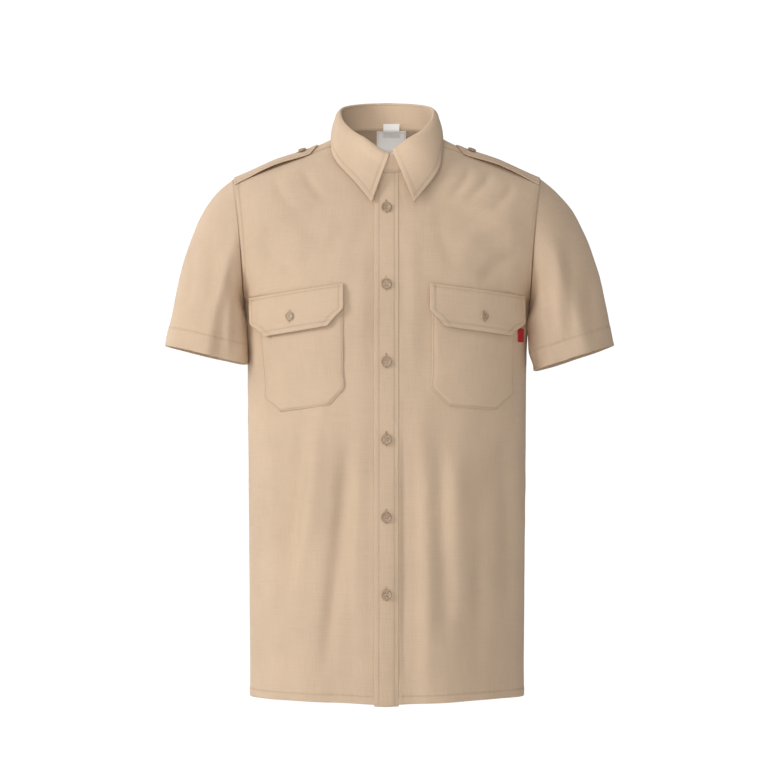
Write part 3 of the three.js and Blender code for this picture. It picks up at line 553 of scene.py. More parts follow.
@dataclass(frozen=True)
class Finish:
    """A procedural material for cloth: a plain weave, uneven yarns and a soft sheen."""

    name: str
    colour: Triple
    thread: float = 0.00042
    weave: float = 0.5
    roughness: float = 0.8
    sheen: float = 0.06
    uneven: float = 0.05
    slub: float = 0.06
    gloss: float = 0.22
    sheen_spread: float = 0.45
    patches: Triple = (14, 14, 9)
    patch_detail: float = 4
    patch_ends: tuple[float, float] = (0.3, 0.7)
    yarns: tuple[Triple, ...] = ((900, 30, 1), (30, 900, 1))
    ripples: Triple = (170, 170, 120)
    ripple_detail: float = 3
    ripple_bump: tuple[float, float] = (0.35, 0.0006)
    thread_depth: float = 0.00006

    def material(self) -> bpy.types.Material:
        """Makes the material once, and gives it again after that."""
        return named_material(self.name, self._dress)

    def _dress(self, shading: Shading) -> None:
        """Sets the shader and joins its colour and its bump to it."""
        shading.feed(shading.shader, {
            "Roughness": self.roughness, "Sheen Weight": self.sheen, "Sheen Roughness": self.sheen_spread,
            "Specular IOR Level": self.gloss, "Base Color": self._tone(shading),
            "Normal": self._relief(shading),
        })

    def _tone(self, shading: Shading) -> Socket:
        """Colour that varies softly over the cloth and along its yarns, with painted shade beside its seams
        and under its stitches.

        Args:
            shading: the material's nodes.

        Returns:
            The colour.
        """
        dark = tuple(x * (1 - self.uneven) for x in self.colour)
        light = tuple(min(x * (1 + self.uneven), 1) for x in self.colour)
        patches = shading.noise("Object", self.patches, self.patch_detail)
        tone = shading.ramp(patches, self.patch_ends, (dark, light))
        for stretch in self.yarns:
            yarn = shading.noise("UV", stretch, 1)
            spread = {"To Min": 1 - self.slub, "To Max": 1 + self.slub, "Value": yarn}
            tone = shading.times(tone, shading.add("ShaderNodeMapRange", spread, "Result"))
        # painted shade: the colour is multiplied by the shade painted along the seams
        return shading.times(tone, shading.attribute("painted_seam_shade"))

    def _relief(self, shading: Shading) -> Socket:
        """The bump of crossing threads, over the slight unevenness of washed cloth.

        Args:
            shading: the material's nodes.

        Returns:
            The bumped normal.
        """
        split = self._split(shading)
        waves = {}
        for k, axis in enumerate(split):
            scaled = shading.add("ShaderNodeMath", {0: axis, 1: math.pi / self.thread}, operation="MULTIPLY")
            waves[k] = shading.add("ShaderNodeMath", {0: scaled}, operation="SINE")
        cross = shading.add("ShaderNodeMath", waves, operation="MULTIPLY")
        uneven = shading.noise("Object", self.ripples, self.ripple_detail)
        strength, depth = self.ripple_bump
        washed = shading.bump(uneven, strength, depth)
        return shading.bump(cross, self.weave, self.thread_depth, {"Normal": washed})

    @staticmethod
    def _split(shading: Shading) -> tuple[Socket, Socket]:
        """Reads the places on the cloth.

        Args:
            shading: the material's nodes.

        Returns:
            The lengths in the cloth's two directions, in metres.
        """
        node = shading.tree.nodes.new("ShaderNodeSeparateXYZ")
        shading.feed(node, {0: shading.where.outputs["UV"]})
        return node.outputs["X"], node.outputs["Y"]


@dataclass(frozen=True)
class HornFinish:
    """A procedural material for horn-coloured buttons: clouded, satin, with a thin coat."""

    name: str = "horn"
    dark: Triple = (0.27, 0.18, 0.11)
    light: Triple = (0.52, 0.38, 0.26)
    cloud_ends: tuple[float, float] = (0.32, 0.68)
    cloud_scale: float = 210
    cloud_detail: float = 5
    cloud_bend: float = 1.6
    roughness: float = 0.34
    coat: float = 0.15
    coat_roughness: float = 0.25
    grain_bump: tuple[float, float] = (0.15, 0.0001)

    def material(self) -> bpy.types.Material:
        """Makes the material once, and gives it again after that."""
        return named_material(self.name, self._dress)

    def _dress(self, shading: Shading) -> None:
        """Sets the shader and joins its clouds and its grain to it."""
        cloud = shading.add("ShaderNodeTexNoise", {"Scale": self.cloud_scale, "Detail": self.cloud_detail,
                                                   "Distortion": self.cloud_bend,
                                                   "Vector": shading.where.outputs["Object"]}, "Fac")
        shading.feed(shading.shader, {
            "Roughness": self.roughness, "Coat Weight": self.coat, "Coat Roughness": self.coat_roughness,
            "Normal": shading.bump(cloud, *self.grain_bump),
            "Base Color": shading.ramp(cloud, self.cloud_ends, (self.dark, self.light)),
        })


SHIRTING = Finish("khaki_poplin", (0.625, 0.47, 0.335))
THREAD = Finish("sewing_thread", (0.55, 0.395, 0.255), thread=0.0003, roughness=0.6, sheen=0.1, slub=0.02)
LABEL_CLOTH = Finish("label_cloth", (0.93, 0.91, 0.88), thread=0.00025, roughness=0.5, uneven=0.03, slub=0.02)
TAB_CLOTH = Finish("tab_cloth", (0.50, 0.008, 0.018), thread=0.0003, roughness=0.6)
HORN = HornFinish()


def new_piece(name: str, points: np.ndarray | list, faces: np.ndarray | list, finish: Finish | HornFinish) -> bpy.types.Object:
    """Makes a piece of the shirt from points and faces.

    Args:
        name: the piece's name.
        points: its points, in metres.
        faces: its faces, as lists of point numbers.
        finish: its finish, which makes the material.

    Returns:
        The new object, which rides on the one body.
    """
    mesh = bpy.data.meshes.new(name)
    mesh.from_pydata([tuple(p) for p in points], [], [tuple(f) for f in faces])
    mesh.polygons.foreach_set("use_smooth", [True] * len(mesh.polygons))
    mesh.materials.append(finish.material())
    mesh.update()
    piece = bpy.data.objects.new(name, mesh)
    bpy.context.scene.collection.objects.link(piece)
    # painted seam shade, 1 at every point until a piece of cloth darkens it along its seams
    shade = mesh.attributes.new("painted_seam_shade", "FLOAT", "POINT")
    shade.data.foreach_set("value", np.ones(len(mesh.vertices), np.float32))
    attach(piece, "root")
    return piece


@dataclass
class Stitching:
    """All the stitches of one part of the shirt, as small rounded threads in one mesh."""

    name: str
    length: float = 0.0019
    pitch: float = 0.0027
    width: float = 0.00042
    height: float = 0.00030
    shoulder: float = 0.55
    raised: float = 0.25
    ring: int = 6
    points: list[np.ndarray] = field(default_factory=list)
    faces: list[tuple[int, ...]] = field(default_factory=list)

    def put(self, middle: np.ndarray, along: np.ndarray, out: np.ndarray,
            length: float | None = None) -> None:
        """Adds one stitch.

        Args:
            middle: the stitch's middle, on the cloth.
            along: the way that its thread runs.
            out: the way out of the cloth.
            length: its length, where it isn't the usual one.
        """
        half = (length or self.length) / 2
        aside = np.cross(out, along)
        first = len(self.points)
        self.points.append(middle - along * half)
        for end in (-self.shoulder, self.shoulder):
            for k in range(self.ring):
                turn = 2 * math.pi * k / self.ring
                rise = out * (math.sin(turn) + self.raised) * self.height
                shift = aside * math.cos(turn) * self.width / 2 + rise
                self.points.append(middle + along * half * end + shift)
        self.points.append(middle + along * half)
        last = first + 2 * self.ring + 1
        for k in range(self.ring):
            a, b = first + 1 + k, first + 1 + (k + 1) % self.ring
            self.faces += [(first, b, a), (a, b, b + self.ring, a + self.ring),
                           (last, a + self.ring, b + self.ring)]

    def run(self, line: np.ndarray, outs: np.ndarray) -> None:
        """Adds a row of stitches.

        Args:
            line: the line on the cloth that they follow.
            outs: the way out of the cloth along it.
        """
        steps = np.linalg.norm(np.diff(line, axis=0), axis=1)
        far = np.concatenate([[0], np.cumsum(steps)])
        if far[-1] < 2 * self.pitch:
            return
        count = int(far[-1] / self.pitch)
        at = (np.arange(count) + 0.5) * far[-1] / count

        def along_line(values: np.ndarray, places: np.ndarray) -> np.ndarray:
            """The values at places along the line."""
            return np.stack([np.interp(places, far, values[:, k]) for k in range(3)], 1)

        near = self.pitch / 3
        ways = along_line(line, at + near) - along_line(line, at - near)
        for middle, way, out in zip(along_line(line, at), unit(ways), unit(along_line(outs, at))):
            self.put(middle, way, out)

    def build(self) -> bpy.types.Object:
        """Makes the piece.

        Returns:
            The stitches, as one object.
        """
        piece = new_piece(self.name, self.points, self.faces, THREAD)
        LOG.info("%s: %d faces", self.name, len(self.faces))
        return piece


@dataclass
class ClothPiece:
    """One cut piece of cloth: its solid's own surface, finer, with creases, seams and rounded edges."""

    node: str
    flat: tuple[float, float]
    area: float
    held: Held = Held.DRAPED
    centre: Triple | None = TORSO
    up: Triple = UPWARDS
    rolled: bool = False
    wall: float = 0.0011
    rows: Pitch = Pitch(0.004, 0.0016, 0.014, 0.008)
    across: Pitch = Pitch(0.0038, 0.0016, 0.009, 0.009)
    creases: tuple[Crease, ...] = ()
    seams: tuple[Seam, ...] = ()
    sewn_edges: tuple[Side, ...] = ()
    close: float = SEAM_CLOSE
    valley: float = 0.0005
    wave: float = 0.0003
    press: float = 0.0
    hang: float = 0.0
    finish: Finish = SHIRTING
    slot: Slot = Slot.SHIRTING
    hand: Hand = Hand()
    closed: bool = field(default=False, init=False)
    grid: np.ndarray = field(init=False)
    outs: np.ndarray = field(init=False)
    # painted shade of each point, lower in seam valleys and under stitches
    shade: np.ndarray = field(init=False)

    def build(self, stitching: Stitching) -> bpy.types.Object:
        """Makes the piece and adds its stitches to the stitching.

        Args:
            stitching: what takes the stitches of this piece.

        Returns:
            The piece, which stands for its solid.
        """
        coarse, self.closed = SolidGrid(self.node, self.centre, self.up, self.rolled).read()
        self.grid = self._fine(coarse)
        self.outs = self._outs()
        self.shade = np.ones(self.grid.shape[:2])
        self._crease()
        self._press()
        self._hang()
        self._join_edges()
        self.outs = self._outs()
        for seam in self.seams:
            self._sew(seam)
        self.outs = self._outs()
        piece = self._shell()
        for seam in self.seams:
            stitching.run(*self._seam_line(seam))
        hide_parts(self.node)
        LOG.info("%s: %d by %d points", piece.name, *self.grid.shape[:2])
        return piece

    def _fine(self, coarse: np.ndarray) -> np.ndarray:
        """Makes the surface finer.

        Args:
            coarse: the solid's points.

        Returns:
            The smooth surface through them, at this piece's pitch.
        """
        if not self.closed:
            along = hermite(coarse, self.rows)
            return hermite(along.transpose(1, 0, 2), self.across).transpose(1, 0, 2)
        count = coarse.shape[1]
        along = hermite(np.concatenate([coarse] * 3, axis=1), self.rows)
        spacing = float(np.linalg.norm(np.diff(coarse, axis=1), axis=2).mean())
        times = 3 * round(spacing / self.across.wide / 3)
        places = np.arange(count * times) / times + count
        i = places.astype(int)
        t = (places - i)[None, :, None]
        before, here, after, beyond = (along[:, i + k] for k in (-1, 0, 1, 2))
        return 0.5 * (2 * here + (after - before) * t + (2 * before - 5 * here + 4 * after - beyond) * t**2
                      + (3 * here - before - 3 * after + beyond) * t**3)

    def _outs(self) -> np.ndarray:
        """Looks up from the cloth.

        Returns:
            The way out of the cloth at each point.
        """
        if self.closed:
            across = np.roll(self.grid, -1, axis=1) - np.roll(self.grid, 1, axis=1)
        else:
            across = np.gradient(self.grid, axis=1)
        return unit(np.cross(across, np.gradient(self.grid, axis=0)))

    def _sides(self) -> list[Side]:
        """The sides at which the cloth ends, which a tube has only at its top and foot."""
        return [side for side in Side if not (self.closed and side.upright)]

    def _from(self, side: Side) -> np.ndarray:
        """Measures along the cloth.

        Args:
            side: where the measure starts.

        Returns:
            Distance of each point from the side, along its row or column.
        """
        axis = 1 if side.upright else 0
        steps = np.linalg.norm(np.diff(self.grid, axis=axis), axis=2)
        start = np.zeros_like(np.take(steps, [0], axis=axis))
        far = np.concatenate([start, np.cumsum(steps, axis=axis)], axis=axis)
        return np.take(far, [-1], axis=axis) - far if side.last else far

    def _crease(self) -> None:
        """Moves the cloth out and in along its creases, over a slight wave."""
        flat = np.zeros(self.grid.shape[:2])
        lift = sum((crease.lift(self.grid, self.outs) for crease in self.creases), flat)
        draws = np.random.default_rng(SEED + len(self.node))
        for _ in range(self.hand.waves):
            way = unit(draws.normal(size=3)) * 2 * math.pi / draws.uniform(*self.hand.wave_lengths)
            high = self.wave * draws.uniform(*self.hand.wave_shares)
            lift = lift + high * np.sin(self.grid @ way + draws.uniform(0, self.hand.wave_start))
        calm = np.ones(self.grid.shape[:2])
        for side in self._sides():
            calm *= smooth(self._from(side), 0.0, self.hand.calm)
        self.grid = self.grid + self.outs * (lift * calm)[..., None]

    def _press(self) -> None:
        """Lays the foot and the sides of a patch on the cloth under it."""
        near = np.zeros(self.grid.shape[:2])
        for side in (Side.LOW, Side.LEFT, Side.RIGHT):
            near = np.maximum(near, np.exp(-((self._from(side) / self.hand.press_reach) ** 2)))
        self.grid = self.grid - self.outs * (self.press * near)[..., None]

    def _hang(self) -> None:
        """Lets the foot of a label hang clear of the cloth behind it."""
        self.grid[..., 1] -= self.hang * smooth(self._from(Side.HIGH), 0.0, self.hand.hang_reach)

    def _join_edges(self) -> None:
        """Closes the gap at sewn edges, lets the cloth sink into the seam and paints shade into the seam's
        valley.
        """
        for side in self.sewn_edges:
            far = self._from(side)
            sink = self.valley * np.exp(-far / self.hand.valley_reach)
            # painted shade: the colour is darkened in the seam's valley, more where the valley is deeper
            dark = self.hand.painted_valley_shade * self.valley
            self.shade *= 1 - dark * np.exp(-((far / self.hand.painted_shade_reach) ** 2))
            self.grid = self.grid - self.outs * sink[..., None]
            outwards = unit(self.grid[side.line()] - self.grid[side.line(1)])
            self.grid[side.line()] = self.grid[side.line()] + outwards * self.close

    def _seam_places(self, seam: Seam) -> tuple[np.ndarray, np.ndarray, np.ndarray]:
        """Where a seam runs.

        Args:
            seam: the row of stitches.

        Returns:
            Each point's distance from the seam's side, the distance at which the seam lies on each
            row or column, and the share by which such a distance is longer than the shortest way.
        """
        edge, inner = self.grid[seam.side.line()], self.grid[seam.side.line(1)]
        slant = np.linalg.norm(np.cross(unit(np.gradient(edge, axis=0)), unit(inner - edge)), axis=1)
        slant = np.maximum(slant, self.hand.least_slant)
        return self._from(seam.side), seam.inset / slant, slant

    def _sew(self, seam: Seam) -> None:
        """Steps the cloth at a seam, draws it in under the stitches, puckers it and paints shade along the
        stitches.

        Args:
            seam: the row of stitches.
        """
        hand = self.hand
        far, at, slant = self._seam_places(seam)
        at, slant = (x[:, None] if seam.side.upright else x[None, :] for x in (at, slant))
        off = (far - at) * slant
        here = smooth(self.grid[..., 2], seam.above - hand.seam_fade, seam.above + hand.seam_fade)
        along = self._from(Side.LOW if seam.side.upright else Side.LEFT)
        band = seam.step * (1 - smooth(off, -hand.step_reach, hand.step_reach))
        under = np.exp(-((off / hand.stitch_reach) ** 2))
        turn = along * hand.pucker_turn + hand.pucker_shift * seam.inset / MM
        drift = hand.pucker_drift * np.sin(turn)
        ripple = np.sin(along * 2 * math.pi / hand.pucker_length + drift)
        pucker = seam.pucker * ripple * np.exp(-((off / hand.pucker_reach) ** 2))
        self.grid = self.grid + self.outs * ((band - seam.dip * under + pucker) * here)[..., None]
        # painted shade along the stitch line, where the cloth is drawn in
        self.shade = self.shade * (1 - hand.painted_stitch_shade * under * here)

    def _seam_line(self, seam: Seam) -> tuple[np.ndarray, np.ndarray]:
        """The line that a seam's stitches follow.

        Args:
            seam: the row of stitches.

        Returns:
            The points of the line, and the way out of the cloth at each.
        """
        far, at, _ = self._seam_places(seam)
        grid, outs = self.grid, self.outs
        if not seam.side.upright:
            grid, outs, far = grid.transpose(1, 0, 2), outs.transpose(1, 0, 2), far.T
        order = -1 if seam.side.last else 1
        index = np.arange(far.shape[1], dtype=float)
        spot = np.array([np.interp(d, row[::order], index[::order]) for d, row in zip(at, far)])
        i = np.clip(spot.astype(int), 0, far.shape[1] - 2)
        t = (spot - i)[:, None]
        rows = np.arange(len(i))
        line = grid[rows, i] * (1 - t) + grid[rows, i + 1] * t
        run = np.concatenate([[0], np.cumsum(np.linalg.norm(np.diff(line, axis=0), axis=1))])
        kept = (run >= seam.trim[0]) & (run <= run[-1] - seam.trim[1])
        kept &= line[:, 2] > seam.above
        return line[kept], outs[rows, i][kept]

    def _shell(self) -> bpy.types.Object:
        """Closes the cloth to a wall with a rounded edge.

        Returns:
            The piece.
        """
        rows, columns = self.grid.shape[:2]
        count = rows * columns
        number = np.arange(count).reshape(rows, columns)
        if self.closed:
            number = np.concatenate([number, number[:, :1]], axis=1)
        corners = [number[:-1, :-1], number[:-1, 1:], number[1:, 1:], number[1:, :-1]]
        quads = np.stack(corners, -1).reshape(-1, 4)
        face = self.grid.reshape(-1, 3)
        back = (self.grid - self.outs * self.wall).reshape(-1, 3)
        inwards = self._inwards().reshape(-1, 3)
        place = np.stack([self._from(Side.LEFT), self._from(Side.LOW)], -1).reshape(-1, 2)
        shade = self.shade.ravel()
        points, places, shades = [face, back], [place, place], [shade, shade]
        faces = [quads, quads[:, ::-1] + count]
        base = 2 * count
        for edge in self._edge_loops(number):
            points.append((face[edge] + back[edge]) / 2 - inwards[edge] * self.wall * self.hand.edge_round)
            places.append(place[edge])
            shades.append(shade[edge])
            mid = base + np.arange(len(edge))
            ahead, turn = np.roll(mid, -1), np.roll(edge, -1)
            faces.append(np.stack([turn, edge, mid, ahead], 1))
            faces.append(np.stack([ahead, mid, edge + count, turn + count], 1))
            base += len(edge)
        piece = new_piece(f"{self.node}_cloth", np.concatenate(points), np.concatenate(faces), self.finish)
        self._paint(piece, np.concatenate(places), np.concatenate(shades))
        return piece

    def _edge_loops(self, number: np.ndarray) -> list[np.ndarray]:
        """Goes round the cloth's edges.

        Args:
            number: the points' numbers as rows and columns, with the first column again after a tube's last.

        Returns:
            The numbers along each closed edge.
        """
        if self.closed:
            return [number[0, :-1], number[-1, :0:-1]]
        return [np.concatenate([number[0, :-1], number[:-1, -1], number[-1, :0:-1], number[:0:-1, 0]])]

    def _inwards(self) -> np.ndarray:
        """Looks in from the cloth's edges.

        Returns:
            The way from each edge point into its piece.
        """
        ways = np.zeros_like(self.grid)
        for side in self._sides():
            ways[side.line()] += unit(self.grid[side.line(1)] - self.grid[side.line()])
        return unit(ways)

    def _paint(self, piece: bpy.types.Object, places: np.ndarray, shades: np.ndarray) -> None:
        """Gives the piece its painted seam shade, and its cloth directions as a map in metres.

        Args:
            piece: the piece.
            places: the place of each of its points, across and along the cloth.
            shades: the painted seam shade of each.
        """
        mesh = piece.data
        # painted seam shade, which darkens the cloth's colour
        mesh.attributes["painted_seam_shade"].data.foreach_set("value", shades.astype(np.float32))
        corner = np.zeros(len(mesh.loops), int)
        mesh.loops.foreach_get("vertex_index", corner)
        spots = places[corner]
        if self.closed:
            gap = float(np.linalg.norm(self.grid[:, -1] - self.grid[:, 0], axis=1).mean())
            whole = gap + places[:, 0].max()
            across = spots[:, 0].reshape(-1, 4)
            torn = np.ptp(across, axis=1) > whole / 2
            across[torn] = np.where(across[torn] < whole / 4, across[torn] + whole, across[torn])
            spots[:, 0] = across.reshape(-1)
        layer = mesh.uv_layers.new(name="cloth")
        layer.data.foreach_set("uv", spots.astype(np.float32).ravel())


# Columns: shares of the button's radius and, taken off it, of its rim; shares of its thickness and,
# taken off it, of its dish.
BUTTON_PROFILE = (
    (0.70, 0, 0, 0), (0.86, 0, 0.10, 0), (0.965, 0, 0.30, 0), (1, 0, 0.52, 0), (0.985, 0, 0.74, 0),
    (1, 0.45, 0.94, 0), (1, 0.9, 1, 0), (1, 1.4, 0.95, 0), (1, 1.9, 1, 0.8), (1, 2.4, 1, 1),
    (0.3, 0, 1, 1.05),
)


@dataclass
class Button:
    """A sewn-on button with a rim, a dished middle, four holes and its threads."""

    node: str
    radius: float
    thick: float
    rim: float
    dish: float
    up: Triple = UPWARDS
    hole: float = 0.00085
    hole_sides: int = 14
    spread: float = 0.0017
    sides: int = 48
    strands: tuple[float, ...] = (-0.35, 0, 0.35)
    lip: float = 0.0013
    lip_gap: float = 0.00075
    lip_pitch: float = 0.00042
    bar_pitch: float = 0.0003
    bar_stitches: int = 4
    bar_rise: float = 0.0001
    ground: float = 0.0006
    base: np.ndarray = field(init=False)
    out: np.ndarray = field(init=False)
    along: np.ndarray = field(init=False)
    aside: np.ndarray = field(init=False)

    def seat(self) -> None:
        """Takes the button's place and axis from its solid."""
        raw = np.array([v.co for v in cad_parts[self.node].data.vertices], float)
        points = np.unique(np.round(raw, 6), axis=0)
        middle = points.mean(0)
        out = np.linalg.svd(points - middle)[2][2]
        if out @ (middle - np.array(TORSO)) < 0:
            out = -out
        heights = (points - middle) @ out
        self.out = out
        self.base = middle + out * heights.min()
        self.along = unit(np.array(self.up) - out * (out @ np.array(self.up)))
        self.aside = np.cross(self.along, out)

    def build(self) -> bpy.types.Object:
        """Makes the button with its four holes.

        Returns:
            The button, which stands for its solid.
        """
        self.seat()
        body = self._object(self._disc(), f"{self.node}_disc")
        cutter = self._object(self._drills(), f"{self.node}_holes")
        cut = body.modifiers.new("holes", "BOOLEAN")
        cut.object = cutter
        cut.solver = "EXACT"
        bpy.context.view_layer.update()
        done = bpy.data.meshes.new_from_object(body.evaluated_get(bpy.context.evaluated_depsgraph_get()))
        turn = np.stack([self.aside, self.along, self.out], 1)
        points = np.array([v.co for v in done.vertices]) @ turn.T + self.base
        faces = [tuple(p.vertices) for p in done.polygons]
        for spare in (body, cutter):
            bpy.data.objects.remove(spare)
        piece = new_piece(f"{self.node}_horn", points, faces, HORN)
        piece.data.polygons.foreach_set("use_smooth", [len(f) == 4 for f in faces])
        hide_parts(self.node)
        LOG.info("%s: %d faces", piece.name, len(faces))
        return piece

    def _disc(self) -> bmesh.types.BMesh:
        """Turns the button's section round its axis.

        Returns:
            The disc, with its back at height 0.
        """
        mesh = bmesh.new()
        turns = [2 * math.pi * k / self.sides for k in range(self.sides)]
        profile = [(self.radius * a - self.rim * b, self.thick * c - self.dish * d)
                   for a, b, c, d in BUTTON_PROFILE]
        rings = [[mesh.verts.new((r * math.cos(turn), r * math.sin(turn), high)) for turn in turns]
                 for r, high in profile]
        back = mesh.verts.new((0, 0, 0))
        face = mesh.verts.new((0, 0, profile[-1][1]))
        for k in range(self.sides):
            n = (k + 1) % self.sides
            mesh.faces.new((back, rings[0][n], rings[0][k]))
            mesh.faces.new((face, rings[-1][k], rings[-1][n]))
            for low, high in zip(rings, rings[1:]):
                mesh.faces.new((low[k], low[n], high[n], high[k]))
        return mesh

    def _drills(self) -> bmesh.types.BMesh:
        """Makes what cuts the holes.

        Returns:
            Four rods through the disc.
        """
        mesh = bmesh.new()
        for x in (-1, 1):
            for y in (-1, 1):
                place = Matrix.Translation((x * self.spread, y * self.spread, self.thick / 2))
                bmesh.ops.create_cone(mesh, cap_ends=True, segments=self.hole_sides, radius1=self.hole,
                                      radius2=self.hole, depth=self.thick * 3, matrix=place)
        return mesh

    @staticmethod
    def _object(mesh: bmesh.types.BMesh, name: str) -> bpy.types.Object:
        """Makes an object for a cut.

        Args:
            mesh: its mesh, which is freed.
            name: its name.

        Returns:
            The object, in the scene.
        """
        data = bpy.data.meshes.new(name)
        mesh.to_mesh(data)
        mesh.free()
        made = bpy.data.objects.new(name, data)
        bpy.context.scene.collection.objects.link(made)
        return made

    def sew_on(self, stitching: Stitching) -> None:
        """Threads from hole to hole, over the face of the button.

        Args:
            stitching: what takes the threads.
        """
        top = self.base + self.out * (self.thick - self.dish)
        for x in (-1, 1):
            for strand in self.strands:
                middle = top + self.aside * (x * self.spread + strand * self.hole)
                stitching.put(middle, self.along, self.out, 2 * self.spread + self.hole)

    def work_hole(self, stitching: Stitching, length: float, shift: float) -> None:
        """A buttonhole round the button: close stitches across both lips, with bars at its ends.

        Args:
            stitching: what takes the stitches.
            length: the buttonhole's length.
            shift: how far its middle lies above the button's.
        """
        ground = self.base + self.along * shift - self.out * self.ground
        for k in range(int(length / self.lip_pitch)):
            place = ground + self.along * (k * self.lip_pitch - length / 2)
            for x in (-1, 1):
                stitching.put(place + self.aside * x * self.lip_gap, self.aside, self.out, self.lip)
        for end in (-1, 1):
            for k in range(self.bar_stitches):
                far = end * (length / 2 + k * self.bar_pitch)
                place = ground + self.along * far + self.out * self.bar_rise
                stitching.put(place, self.aside, self.out, 2 * self.lip_gap + self.lip)


@dataclass(frozen=True)
class Lamp:
    """A soft square light, or a soft beam where it has a cone. Metres, watts and degrees."""

    name: str
    place: Triple
    size: float
    power: float
    colour: Triple = (1.0, 1.0, 1.0)
    aim: Triple = (0.0, 0.0, -0.35)
    cone: float = 0.0

    def build(self) -> None:
        """Makes the light and turns it to its aim."""
        data = bpy.data.lights.new(self.name, "SPOT" if self.cone else "AREA")
        data.energy, data.color = self.power, self.colour
        if self.cone:
            data.shadow_soft_size, data.spot_size, data.spot_blend = self.size, math.radians(self.cone), 1.0
        else:
            data.size = self.size
        lamp = bpy.data.objects.new(self.name, data)
        lamp.location = self.place
        lamp.rotation_euler = (Vector(self.aim) - Vector(self.place)).to_track_quat("-Z", "Y").to_euler()
        bpy.context.scene.collection.objects.link(lamp)


@dataclass(frozen=True)
class Studio:
    """The camera at the photograph's angle, soft lights and a pale floor."""

    eye: Triple = (0.00135, -3.5, -0.338)
    lens: float = 120.43
    film: float = 36.0
    floor_z: float = -1.32
    floor_radius: float = 2.4
    floor_colour: Triple = (0.9, 0.9, 0.89)
    floor_roughness: float = 0.9
    floor_sides: int = 96
    glow: float = 0.34
    white: float = 1.05
    lamps: tuple[Lamp, ...] = (
        Lamp("key", (-3.0, -1.7, 0.8), 1.2, 62, (1.0, 0.99, 0.975)),
        Lamp("front", (-0.15, -3.3, 0.12), 0.6, 17, (1.0, 0.985, 0.965)),
        Lamp("low", (0.5, -3.1, -1.0), 0.9, 7, (1.0, 0.985, 0.965)),
        Lamp("neck", (-0.45, -1.2, 1.0), 0.5, 3.0),
        Lamp("label_spot", (-0.05, -3.3, -0.25), 0.05, 340, aim=(0.006, 0.05, -0.002), cone=1.5),
        Lamp("fill", (2.6, -2.2, 0.0), 2.0, 4, (1.0, 0.975, 0.95)),
        Lamp("top", (0.0, 0.3, 2.6), 2.0, 12),
        Lamp("behind", (-2.6, 2.0, 0.9), 1.3, 44),
    )

    def build(self) -> None:
        """Sets up the camera, the lights, the world and the floor."""
        scene = bpy.context.scene
        data = bpy.data.cameras.new("camera")
        data.lens, data.sensor_width = self.lens, self.film
        camera = bpy.data.objects.new("camera", data)
        camera.location = self.eye
        camera.rotation_euler = (math.pi / 2, 0, 0)
        scene.collection.objects.link(camera)
        scene.camera = camera
        scene.view_settings.view_transform = "Standard"
        for lamp in self.lamps:
            lamp.build()
        self._world(scene)
        self._floor()

    def _world(self, scene: bpy.types.Scene) -> None:
        """Puts white behind the shirt, and a softer white round it as light.

        Args:
            scene: the scene.
        """
        world = bpy.data.worlds.new("studio")
        scene.world = world
        world.use_nodes = True
        nodes, links = world.node_tree.nodes, world.node_tree.links
        soft = nodes["Background"]
        soft.inputs["Color"].default_value = (1, 0.995, 0.985, 1)
        soft.inputs["Strength"].default_value = self.glow
        white = nodes.new("ShaderNodeBackground")
        white.inputs["Color"].default_value = (1, 1, 1, 1)
        white.inputs["Strength"].default_value = self.white
        path = nodes.new("ShaderNodeLightPath")
        pick = nodes.new("ShaderNodeMixShader")
        links.new(path.outputs["Is Camera Ray"], pick.inputs[0])
        links.new(soft.outputs[0], pick.inputs[1])
        links.new(white.outputs[0], pick.inputs[2])
        links.new(pick.outputs[0], nodes["World Output"].inputs["Surface"])

    def _floor(self) -> None:
        """A round pale floor, well below the shirt."""
        mesh = bmesh.new()
        bmesh.ops.create_circle(mesh, cap_ends=True, segments=self.floor_sides, radius=self.floor_radius)
        data = bpy.data.meshes.new("floor")
        mesh.to_mesh(data)
        mesh.free()
        floor = bpy.data.objects.new("floor", data)
        floor.location = (0, 0, self.floor_z)
        bpy.context.scene.collection.objects.link(floor)
        paint = bpy.data.materials.new("floor_paint")
        paint.use_nodes = True
        shader = paint.node_tree.nodes["Principled BSDF"]
        shader.inputs["Base Color"].default_value = (*self.floor_colour, 1)
        shader.inputs["Roughness"].default_value = self.floor_roughness
        data.materials.append(paint)


def creases(facing: Facing, rows: tuple[tuple[float, ...], ...]) -> tuple[Crease, ...]:
    """Makes the creases of a table.

    Args:
        facing: the way that the cloth under them faces.
        rows: where each starts and ends, its bow, its width and its height.

    Returns:
        The creases.
    """
    return tuple(Crease(*row, facing) for row in rows)


